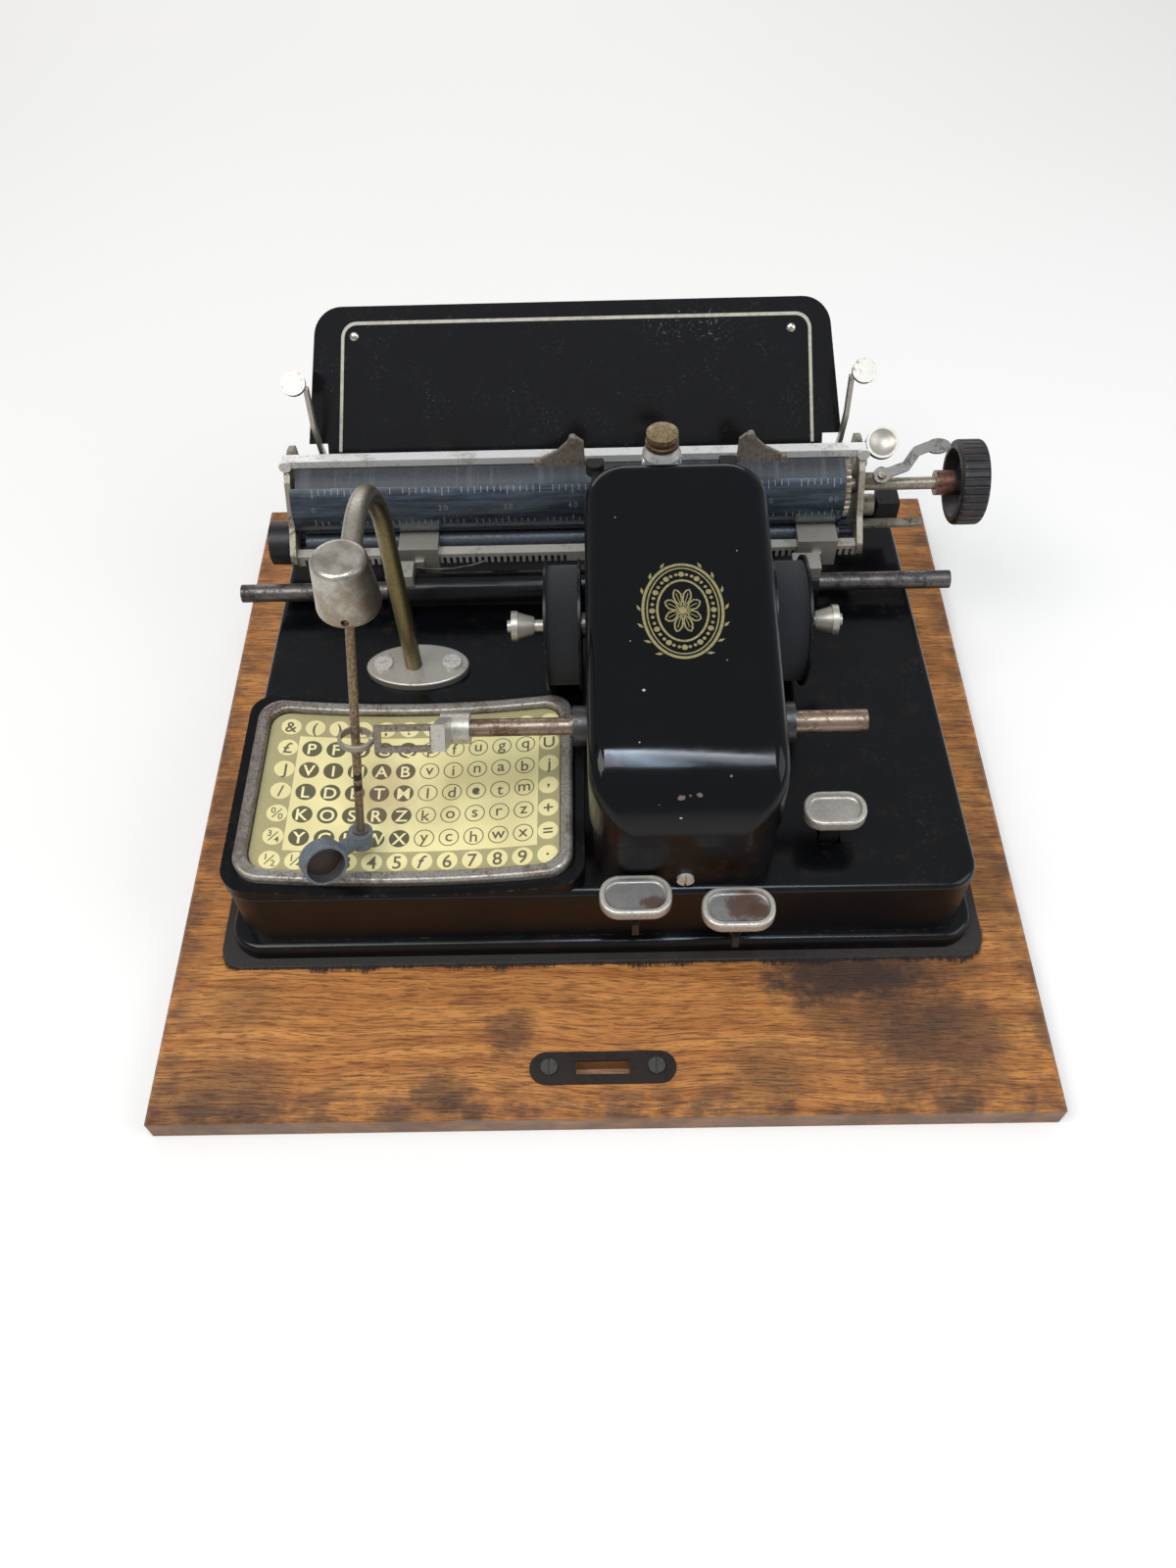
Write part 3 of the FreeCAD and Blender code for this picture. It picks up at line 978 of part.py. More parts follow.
# The guide plate seen from the front, as shares of its width and height from its inner low corner
GUIDE_SHARES = [(-0.3, 0.0), (0.93, 0.03), (1.0, 0.16), (0.9, 0.26), (0.56, 0.52), (0.36, 0.8), (0.3, 0.96),
                (0.14, 0.94), (0.02, 0.8), (0.0, 0.18), (-0.3, 0.18)]
GUIDE_CURL_SHARES = [(0.96, 0.15), (0.24, 0.92)]


def build_guides():
    """Two ribbon guides: each a thin plate with curled tips on an arm from the hood's back."""
    pieces = []
    low = "guide_low"
    for name, edge, way in (("left", "(-guide_left)", "-"), ("right", "guide_right", "+")):
        back = "+" if way == "-" else "-"

        def spot(shares):
            return (edge + " %s guide_wide * (%r)" % (way, shares[0]), low + " + guide_tall * %r" % shares[1])
        plate = prism("guide_plate_" + name, "xz", [spot(shares) for shares in GUIDE_SHARES],
                      ("guide_back", "guide_back + guide_thick"))
        curls = [cylinder("guide_curl_%s_%d" % (name, i), "y", "guide_curl_radius",
                          ("guide_back - guide_curl_long", "guide_back + guide_thick"), spot(shares))
                 for i, shares in enumerate(GUIDE_CURL_SHARES)]
        post = edge + " %s guide_reach" % back
        seat = HOOD_LEFT + " + hood_corner + guide_foot" if way == "-" else HOOD_RIGHT + " - hood_corner - guide_foot"
        foot = (post + " - guide_stem / 2", seat) if way == "-" else (seat, post + " + guide_stem / 2")
        level = (low, low + " + guide_stem")
        arm = [box("guide_foot_" + name, foot, ("hood_back", "hood_back + guide_stem"), level),
               box("guide_arm_" + name, (post + " - guide_stem / 2", post + " + guide_stem / 2"),
                   ("hood_back", "guide_back + guide_thick"), level),
               cylinder("guide_roller_" + name, "z", "guide_roller_radius",
                        (low, low + " + guide_roller_tall"), (post, "guide_back - guide_roller_radius"))]
        pieces.append(fuse("guide_" + name, [plate] + curls + arm))
    keep("ribbon_guides", group("ribbon_guides", pieces))


def build_rail():
    centre = ("rail_back", "rail_up")
    span = ("-rail_tube_left", "rail_tube_right")
    sleeve = cylinder("rail_sleeve", "x", "rail_tube_radius", span, centre)
    posts = []
    for name, low in (("left", "-rail_tube_left"), ("right", "rail_tube_right - rail_post_wide")):
        posts.append(box("rail_post_" + name, (low, low + " + rail_post_wide"),
                         ("rail_back - rail_tube_radius", "rail_back + rail_tube_radius"), (DECK, "rail_up")))
    web = box("rail_web", span, ("rail_back - rail_radius", "rail_back + rail_radius / 2"), (DECK, "rail_up"))
    bore = cylinder("rail_bore", "x", "rail_radius + rail_fit",
                    ("-rail_tube_left - overrun", "rail_tube_right + overrun"), centre)
    slot = box("rail_slot", ("-rail_tube_left + rail_post_wide / 2", "rail_tube_right - rail_post_wide / 2"),
               ("rail_back", "rail_back + rail_tube_radius + overrun"),
               ("rail_up - rail_slot_tall / 2", "rail_up + rail_slot_tall / 2"))
    housing = cut("rail_channel", fuse("rail_blank", [sleeve, web] + posts), [bore, slot])
    rear = box("rear_rail", ("-rear_rail_half", "rear_rail_half"),
               ("rear_rail_back - rear_rail_wide / 2", "rear_rail_back + rear_rail_wide / 2"),
               (DECK, DECK + " + rear_rail_tall"))
    keep("rail_housing", group("rail_housing", [housing, rear]))
    stops = [box("rail_stop_" + name, (middle + " - stop_wide / 2", middle + " + stop_wide / 2"),
                 ("rail_back - stop_deep / 2", "rail_back + stop_deep / 2"),
                 ("rail_up + rail_tube_radius - run_gap * 2", "rail_up + rail_tube_radius + stop_tall"))
             for name, middle in (("left", "-rail_tube_left + stop_wide / 2"),
                                  ("right", "rail_tube_right - stop_wide / 2"))]
    round_top = [cylinder("stop_relief_" + name, "x", "rail_tube_radius + run_gap / 10", (
        "-rail_tube_left - overrun", "rail_tube_right + overrun"), centre) for name in ("left", "right")]
    keep("rail_stops", group("rail_stops", [cut("stop_cut_%d" % i, stop, [relief])
                                            for i, (stop, relief) in enumerate(zip(stops, round_top))]))


# The side plate's outline, as shares of its depth and height, front foot first
PLATE_SHARES = [(0.0, 0.12), (0.06, 0.0), (1.0, 0.0), (1.0, 0.25), (0.88, 0.62), (0.84, 0.95),
                (0.74, 1.0), (0.5, 1.0), (0.4, 0.88), (0.2, 0.45), (0.02, 0.24)]


def plate_points():
    return [("plate_front + plate_deep * %s" % a, "plate_low + plate_tall * %s" % b) for a, b in PLATE_SHARES]


INNER_LEFT = "(-plate_left + plate_thick / 2)"
INNER_RIGHT = "(plate_right - plate_thick / 2)"


def build_carriage():
    through = ("-plate_left - plate_thick", "plate_right + plate_thick")
    plates = []
    for name, middle in (("left", "-plate_left"), ("right", "plate_right")):
        span = (middle + " - plate_thick / 2", middle + " + plate_thick / 2")
        blank = prism("side_plate_" + name, "yz", plate_points(), span, "plate_thick")
        holes = [cylinder("plate_%s_%s" % (name, hole), "x", radius, through, centre)
                 for hole, radius, centre in (
                     ("platen", "platen_shaft_radius + pin_fit", ("platen_back", "platen_up")),
                     ("feed", "feed_shaft_radius + pin_fit", ("feed_back", "feed_up")),
                     ("paper", "paper_lever_rod + pin_fit", ("paper_lever_back", "paper_lever_up")),
                     ("release", "paper_lever_rod + pin_fit", ("release_back", "release_pivot_up")))
                 if not (name == "left" and hole == "release")]
        plates.append(cut("carriage_plate_" + name, blank, holes))
    stud_way = Vector(0, -math.sin(math.radians(value("lever_tilt"))), math.cos(math.radians(value("lever_tilt"))))
    nut = tube("rear_nut", "x", "rear_nut_radius", "feed_shaft_radius",
               (INNER_RIGHT + " + plate_thick", INNER_RIGHT + " + plate_thick + rear_nut_radius * 1.8"),
               ("rear_shaft_back", "rear_shaft_up"))
    leaf = box("side_leaf", (INNER_RIGHT + " + plate_thick", "leaf_end"),
               ("leaf_back - leaf_wide / 2", "leaf_back + leaf_wide / 2"), ("leaf_up", "leaf_up + leaf_thick"))
    keep("carriage_plates", group("carriage_plates", plates + [lever_stud(stud_way), nut, leaf]))

    rod = cylinder("carriage_rod_bar", "x", "rail_radius", ("-rod_half", "rod_half"), ("rail_back", "rail_up"))
    saddle_x = ("-saddle_across - saddle_wide / 2", "-saddle_across + saddle_wide / 2")
    saddle_low = "rail_up - rail_slot_tall / 2 + saddle_gap"
    foot = box("saddle_foot", saddle_x, ("rail_back", "rack_front"),
               (saddle_low, "rail_up + rail_slot_tall / 2 - saddle_gap"))
    riser = box("saddle_riser", saddle_x, ("rack_front", "rack_front + rack_deep"), (saddle_low, "rack_low"))
    keep("carriage_rod", fuse("carriage_rod", [rod, foot, riser]))

    comb = box("rack_bar", (INNER_LEFT, INNER_RIGHT), ("rack_front", "rack_front + rack_deep"),
               ("rack_low", "rack_low + rack_tall"))
    doc.recompute()
    left, right, front, deep, low, pitch, cut_deep, share = sized(
        INNER_LEFT, INNER_RIGHT, "rack_front", "rack_deep", "rack_low", "comb_pitch", "comb_deep", "comb_share")
    saddle_left, saddle_right = sized(*saddle_x)
    gaps = []
    count = int((right - left) / pitch) - 1
    for i in range(1, count + 1):
        x = left + i * pitch
        if saddle_left - pitch < x < saddle_right + pitch / 2:
            continue
        gaps.append(Part.makeBox(pitch * share, deep, cut_deep * 2, Vector(x, front - deep / 3, low - cut_deep)))
    keep("carriage_rack", shaped("carriage_rack", comb.Shape.cut(Part.makeCompound(gaps))))

    beam = box("beam_bar", (INNER_LEFT, INNER_RIGHT), ("beam_back", "beam_back + beam_deep"),
               ("beam_low", "beam_low + beam_tall"))
    skids = [box("skid_%d" % i, ("%d * skid_across - skid_long / 2" % i, "%d * skid_across + skid_long / 2" % i),
                 ("beam_back", "beam_back + beam_deep"), (DECK + " + rear_rail_tall + run_gap", "beam_low"))
             for i in (-1, 1)]
    rear = cylinder("rear_shaft", "x", "feed_shaft_radius", (INNER_RIGHT + " + plate_thick", "rear_shaft_end"),
                    ("rear_shaft_back", "rear_shaft_up"))
    block = box("rear_block", ("rear_shaft_end - rear_nut_radius * 2", "rear_shaft_end"),
                ("rear_shaft_back - rear_nut_radius", "rear_shaft_back + rear_nut_radius"),
                ("rear_shaft_up - rear_nut_radius", "rear_shaft_up + rear_nut_radius"))
    keep("carriage_beam", group("carriage_beam", [fuse("beam_frame", [beam] + skids),
                                                  fuse("rear_fitting", [rear, block])]))

    bar = box("bail_bar", ("-plate_left - plate_thick / 2", "plate_right + plate_thick / 2"),
              ("bail_back - bail_deep / 2", "bail_back + bail_deep / 2"),
              ("plate_low + plate_tall + run_gap / 10", "plate_low + plate_tall + bail_tall"))
    screws = [cylinder("bail_screw_%s" % name, "y", "bail_screw_radius",
                       ("bail_back - bail_deep / 2 - screw_head", "bail_back - bail_deep / 2"),
                       (where, "plate_low + plate_tall + bail_tall / 2"))
              for name, where in (("left", "-plate_left"), ("right", "plate_right"))]
    keep("paper_bail", fuse("paper_bail", [bar] + screws))


def lever_stud(way):
    """The stud and bracket that carry the line-space lever on the right plate."""
    base = Vector(*sized("lever_pivot_across", "lever_pivot_back", "lever_pivot_up"))
    long = value("lever_screw") * 2
    stud = Part.makeCylinder(value("lever_screw") / 2, long, base - way * long, way)
    x_low = value(INNER_RIGHT + " + plate_thick")
    foot = base - way * long
    size = value("lever_screw")
    arm = Part.makeBox(base.x - x_low + size / 2, size, size, Vector(x_low, foot.y - size / 2, foot.z - size / 2))
    return shaped("lever_stud", stud.fuse(arm))


def arc_shell(inner, outer, start, sweep, low, high, centre_y, centre_z):
    """Part of a tube along X, from start degrees about the axis, measured from +Y towards +Z."""
    ring = Part.makeCylinder(outer, high - low, Vector(low, centre_y, centre_z), Vector(1, 0, 0), 360)
    ring = ring.cut(Part.makeCylinder(inner, high - low + outer, Vector(low - outer / 2, centre_y, centre_z),
                                      Vector(1, 0, 0), 360))
    first, last = math.radians(start), math.radians(start + sweep)
    far = outer * 3
    points = [Vector(low - outer, centre_y, centre_z)]
    steps = 4
    for i in range(steps + 1):
        angle = first + (last - first) * i / steps
        points.append(Vector(low - outer, centre_y + far * math.cos(angle), centre_z + far * math.sin(angle)))
    wedge = Part.Face(Part.makePolygon(points + points[:1])).extrude(Vector(high - low + 2 * outer, 0, 0))
    return ring.common(wedge)


def build_platen():
    centre = ("platen_back", "platen_up")
    keep("platen", tube("platen", "x", "platen_radius", "platen_bore", ("-platen_left", "platen_right"), centre))
    # steel shaft through the roll, with the line-space ratchet fixed at its right end
    count, depth, thick = sized("ratchet_teeth", "ratchet_tooth", "ratchet_thick")
    y, z = sized(*centre)
    wheel = toothed_disc(value("ratchet_radius"), depth, int(count), thick, 0.5, 0.15, 0)
    wheel.rotate(Vector(), Vector(0, 1, 0), 90)
    wheel.translate(Vector(value("platen_right + run_gap"), y, z))
    rod = cylinder("platen_rod", "x", "platen_shaft_radius", ("-plate_left - plate_thick", "platen_shaft_end"), centre)
    sleeve = cylinder("platen_core", "x", "platen_bore", ("-platen_left", "platen_right + run_gap"), centre)
    hub = cylinder("knob_hub", "x", "hub_radius", ("knob_across - hub_long", "knob_across"), centre)
    keep("platen_shaft", fuse("platen_shaft", [rod, sleeve, hub, shaped("ratchet_wheel", wheel)]))
    # ribbed knob, dished on the inside
    radius, knob_thick, deep, x = sized("knob_radius", "knob_thick", "knob_groove", "knob_across")
    knob = Part.makeCylinder(radius, knob_thick, Vector(x, y, z), Vector(1, 0, 0))
    knob = knob.makeFillet(knob_thick / 6, [edge for edge in knob.Edges if edge.BoundBox.XLength < deep])
    knob = knob.cut(Part.makeCone(radius * 0.8, radius * 0.6, knob_thick * 0.4, Vector(x, y, z), Vector(1, 0, 0)))
    knob = knob.fuse(Part.makeCylinder(value("hub_radius"), knob_thick * 0.6, Vector(x, y, z), Vector(1, 0, 0)))
    ribs = int(value("knob_grooves"))
    grooves = []
    for i in range(ribs):
        angle = 2 * math.pi * i / ribs
        at = Vector(x + deep, y + radius * math.cos(angle), z + radius * math.sin(angle))
        grooves.append(Part.makeCylinder(deep, knob_thick - 2 * deep, at, Vector(1, 0, 0)))
    knob = knob.cut(Part.makeCompound(grooves))
    knob = knob.cut(Part.makeCylinder(value("platen_shaft_radius"), knob_thick * 0.7,
                                      Vector(x - deep, y, z), Vector(1, 0, 0)))
    keep("platen_knob", shaped("platen_knob", knob))

    inner, thick, start, sweep = sized("platen_radius + cover_gap", "cover_thick", "cover_start", "cover_sweep")
    low, high = sized(INNER_LEFT + " + cover_end_gap", "platen_right - cover_end_gap")
    shell = arc_shell(inner, inner + thick, start, sweep, low, high, y, z)
    tabs = []
    for x_low, x_high in ((value(INNER_LEFT), low + thick), (high - thick, value(INNER_RIGHT))):
        foot_angle = math.radians(start + sweep)
        foot = Vector(0, y + (inner + thick / 2) * math.cos(foot_angle), z + (inner + thick / 2) * math.sin(foot_angle))
        tabs.append(Part.makeBox(x_high - x_low, thick * 3, thick, Vector(x_low, foot.y - 2 * thick, foot.z)))
    keep("scale_cover", shaped("scale_cover", shell.multiFuse(tabs)))

    feed = ("feed_back", "feed_up")
    roller = cylinder("feed_roll", "x", "feed_radius", ("-platen_left", "platen_right"), feed)
    axle = cylinder("feed_axle", "x", "feed_shaft_radius",
                    ("-plate_left - plate_thick - feed_knob_long", "plate_right + plate_thick"), feed)
    knob = cylinder("feed_knob", "x", "feed_knob_radius",
                    ("-plate_left - plate_thick / 2 - run_gap - feed_knob_long",
                     "-plate_left - plate_thick / 2 - run_gap"), feed)
    keep("feed_roller", fuse("feed_roller", [roller, axle, knob]))


def build_paper_table():
    # flat plate leaning back, with two stays down to the rear beam
    half_low, half_top = "paper_wide_low / 2", "paper_wide_top / 2"
    plate = prism("paper_plate", "xy", [("-%s + paper_notch" % half_low, "0"), (half_low + " - paper_notch", "0"),
                                        (half_low + " - paper_notch", "paper_notch_tall"),
                                        (half_low, "paper_notch_tall"), (half_top, "paper_tall"),
                                        ("-" + half_top, "paper_tall"), ("-" + half_low, "paper_notch_tall"),
                                        ("-%s + paper_notch" % half_low, "paper_notch_tall")],
                  ("0", "paper_thick"), "paper_corner",
                  lambda edge: edge.BoundBox.YMin > value("paper_tall - paper_notch"))
    plate.Placement = Placement(Vector(), Rotation(Vector(1, 0, 0), value("paper_angle")))
    place(plate, ("paper_middle", "paper_low_back", "paper_low_up"))
    lean = math.radians(value("paper_angle"))
    stays = []
    wide, thick, low_y, low_z, foot_y, foot_z = sized("stay_wide", "stay_thick", "paper_low_back",
                                                      "paper_low_up", "beam_back + beam_deep", "beam_low")
    turn = Rotation(Vector(1, 0, 0), value("paper_angle"))
    for side in (-1, 1):
        x = value("paper_middle + %d * paper_wide_top * 0.42" % side) - wide / 2
        meet = low_z + (foot_y - low_y) * math.tan(lean)
        upright = Part.makeBox(wide, thick, meet - foot_z, Vector(x, foot_y, foot_z))
        strip = Part.makeBox(wide, value("paper_tall") * 0.8, thick)
        strip.Placement = Placement(Vector(x, low_y, low_z) + turn.multVec(Vector(0, thick * 2, -thick)), turn)
        stays.append(shaped("paper_stay_%d" % side, upright.fuse(strip)))
    keep("back_plate", fuse("back_plate", [plate] + stays))


def build_margin_stops():
    for name, middle in (("left", "-margin_left"), ("right", "margin_right")):
        x = (middle + " - margin_wide / 2", middle + " + margin_wide / 2")
        y = ("rack_front - margin_wall - margin_fit", "rack_front + rack_deep + margin_wall + margin_fit")
        z = ("rack_low - margin_drop", "margin_top - margin_wall")
        blank = box("margin_block_" + name, x, y, z)
        lid = prism("margin_lid_" + name, "xy", [
            (x[0], y[0]), (x[1], y[0]), (x[1], "margin_back"), (middle + " + margin_point", "margin_back"),
            (middle, "margin_back + margin_point"), (middle + " - margin_point", "margin_back"),
            (x[0], "margin_back")], ("margin_top - margin_wall", "margin_top"))
        tab = box("margin_tab_" + name, (middle + " - latch_wide / 2", middle + " + latch_wide / 2"),
                  ("rack_front - margin_wall * 2 - margin_fit", "rack_front - margin_wall"),
                  ("rack_low - margin_wall", "rack_low + rack_tall * 0.7"))
        hole = box("margin_hole_" + name, (middle + " - margin_wide", middle + " + margin_wide"),
                   ("rack_front - margin_fit", "rack_front + rack_deep + margin_fit"),
                   ("rack_low - margin_fit", "rack_low + rack_tall + margin_fit"))
        open_low = box("margin_open_" + name, (middle + " - margin_wide", middle + " + margin_wide"),
                       ("rack_front - margin_fit", "rack_front + rack_deep + margin_wall * 2"),
                       ("rack_low - margin_wide", "rack_low"))
        keep("margin_stop_" + name, cut("margin_stop_" + name, fuse("margin_blank_" + name, [blank, lid, tab]),
                                        [hole, open_low]))


def build_levers():
    # line-space lever: an S-shaped bar in a plane square to its screw, with a thumb pad at the end
    tilt = value("lever_tilt")
    base = Vector(*sized("lever_pivot_across", "lever_pivot_back", "lever_pivot_up"))
    turn = Rotation(Vector(1, 0, 0), tilt)
    reach, rise, bar, thick, screw = sized("lever_reach", "lever_rise", "lever_bar", "lever_bar_thick", "lever_screw")
    knots = [Vector(0, 0, 0), Vector(0.38 * reach, 0.3 * rise, 0), Vector(0.55 * reach, 0.85 * rise, 0),
             Vector(0.72 * reach, rise, 0)]
    pieces = [Part.makeCylinder(screw, thick, Vector(), Vector(0, 0, 1))]
    for start, end in zip(knots, knots[1:]):
        way = end - start
        side = Vector(-way.y, way.x, 0).normalize() * (bar / 2)
        corners = [start + side, end + side, end - side, start - side]
        pieces.append(Part.Face(Part.makePolygon(corners + corners[:1])).extrude(Vector(0, 0, thick)))
        pieces.append(Part.makeCylinder(bar / 2, thick, end, Vector(0, 0, 1)))
    pad = Part.Face(Part.Wire([Part.Ellipse(Vector(0.88 * reach, rise * 1.02, 0), bar * 1.25, bar * 0.75).toShape()]))
    pieces.append(pad.extrude(Vector(0, 0, thick)))
    lever = pieces[0].multiFuse(pieces[1:]).removeSplitter()
    hole = Part.makeCylinder(screw / 2 + value("pin_fit"), thick * 3, Vector(0, 0, -thick), Vector(0, 0, 1))
    lever = lever.cut(hole)
    lift = turn.multVec(Vector(0, 0, -thick * 2))
    keep("line_space_lever", shaped("line_space_lever", lever, Placement(base + lift, turn)))

    # carriage release: a dished round pad on an arm that hinges at the right plate
    centre = Vector(*sized("release_across", "release_back", "release_up"))
    pivot = Vector(*sized(INNER_RIGHT + " + plate_thick + run_gap", "release_back", "release_pivot_up"))
    arm, radius, pad_thick, rod = sized("release_arm", "release_radius", "release_thick", "paper_lever_rod")
    facing = turn.multVec(Vector(0, 0, 1))
    pad = Part.makeCylinder(radius, pad_thick, centre - facing * (pad_thick / 2), facing)
    dish = Part.makeSphere(radius * 1.6, centre + facing * (radius * 1.6 - pad_thick * 0.1))
    pad = pad.cut(dish)
    blade = Part.makeBox(arm / 2, arm, centre.z - pivot.z, Vector(pivot.x, pivot.y - arm / 2, pivot.z))
    boss = Part.makeCylinder(arm * 0.8, arm / 2, pivot, Vector(1, 0, 0))
    bridge = Part.makeBox(centre.x - pivot.x, arm, arm / 2, Vector(pivot.x, pivot.y - arm / 2, centre.z - arm))
    pin = Part.makeCylinder(rod, value("plate_thick") + value("run_gap"), pivot, Vector(-1, 0, 0))
    keep("release_lever", shaped("release_lever", pad.multiFuse([blade, boss, bridge, pin]).removeSplitter()))

    # paper release: one cross rod with a thin cranked arm and a small pad at each end
    y, z, tall, pad_radius, rod = sized("paper_lever_back", "paper_lever_up", "paper_lever_tall",
                                        "paper_pad_radius", "paper_lever_rod")
    left, right, end_gap = sized("-plate_left - plate_thick / 2", "plate_right + plate_thick / 2", "run_gap")
    cross = Part.makeCylinder(rod, right - left, Vector(left, y, z), Vector(1, 0, 0))
    blade = arm / 2
    shift = value("paper_pad_shift")
    front = [Vector(0, y - arm / 2, z), Vector(0, y - arm * 1.6, z + tall * 0.25),
             Vector(0, y - arm * 2.4, z + tall * 0.6), Vector(0, y - arm * 1.8, z + tall)]
    back = [point + Vector(0, arm * 0.9, 0) for point in reversed(front)]
    pieces = []
    for x, out in ((value("-paper_arm_left"), -1), (value("paper_arm_right"), 1)):
        ring = [Vector(x - blade / 2, point.y, point.z) for point in front + back]
        pieces.append(Part.Face(Part.makePolygon(ring + ring[:1])).extrude(Vector(blade, 0, 0)))
        pieces.append(Part.makeCylinder(arm * 0.8, blade, Vector(x - blade / 2, y, z), Vector(1, 0, 0)))
        centre = Vector(x + out * shift, y - arm * 1.2, z + tall + pad_radius * 0.4)
        pieces.append(Part.makeCylinder(pad_radius, blade, centre - facing * (blade / 2), facing))
    levers = cross.multiFuse(pieces)
    keep("paper_levers", shaped("paper_levers", levers))


build_board()
build_screws()
build_base()
build_hood()
build_tray()
NECK_FINISH = build_neck()
build_bell()
build_pointer()
build_index_shaft()
build_type_drive()
build_keys()
build_spools()
build_guides()
build_rail()
build_carriage()
build_platen()
build_paper_table()
build_margin_stops()
build_levers()
doc.recompute()

# Nothing is written unless every object is sound
for item in doc.Objects:
    if "Invalid" in item.State or "Error" in item.State:
        raise RuntimeError("%s failed: %s" % (item.Label, item.State))
for item in NODES:
    if item.Shape.isNull() or not item.Shape.isValid():
        raise RuntimeError("%s has no valid shape" % item.Label)
os.makedirs("parts", exist_ok=True)
for item in NODES:
    item.Shape.exportStep("parts/%s.step" % item.Label)
print(len(NODES), "sub-parts written")
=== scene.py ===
"""Looks for the index typewriter: finishes, the printed card, the badge and the small trim."""
import bpy
import math
import random
from mathutils import Matrix, Vector


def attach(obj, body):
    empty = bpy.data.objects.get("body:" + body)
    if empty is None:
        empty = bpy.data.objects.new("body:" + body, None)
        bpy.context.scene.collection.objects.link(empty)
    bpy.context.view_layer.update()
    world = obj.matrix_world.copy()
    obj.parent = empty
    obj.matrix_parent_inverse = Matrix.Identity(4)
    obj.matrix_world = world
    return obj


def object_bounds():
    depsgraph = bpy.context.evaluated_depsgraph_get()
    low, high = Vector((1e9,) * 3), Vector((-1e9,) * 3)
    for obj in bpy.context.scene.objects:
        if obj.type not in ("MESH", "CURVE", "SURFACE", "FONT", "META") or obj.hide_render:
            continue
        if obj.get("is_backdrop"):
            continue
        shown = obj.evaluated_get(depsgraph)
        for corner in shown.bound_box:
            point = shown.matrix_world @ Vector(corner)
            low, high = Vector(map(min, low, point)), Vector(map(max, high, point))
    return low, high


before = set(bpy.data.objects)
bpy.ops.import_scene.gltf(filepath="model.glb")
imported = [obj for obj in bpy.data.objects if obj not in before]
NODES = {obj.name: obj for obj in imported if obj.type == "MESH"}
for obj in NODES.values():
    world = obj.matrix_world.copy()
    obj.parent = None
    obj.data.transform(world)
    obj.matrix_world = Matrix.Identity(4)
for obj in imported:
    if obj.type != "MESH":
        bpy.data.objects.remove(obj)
CAD_BOX = [list(corner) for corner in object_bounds()]
MM = 0.001
random.seed(7)

FRAME = "machine_frame"
SEE_ANGLE = math.radians(35)


# Colours and shading
def rgb(code):
    """A written screen colour as linear values."""
    parts = [int(code[i:i + 2], 16) / 255 for i in (0, 2, 4)]
    return tuple(p / 12.92 if p <= 0.04045 else ((p + 0.055) / 1.055) ** 2.4 for p in parts) + (1.0,)


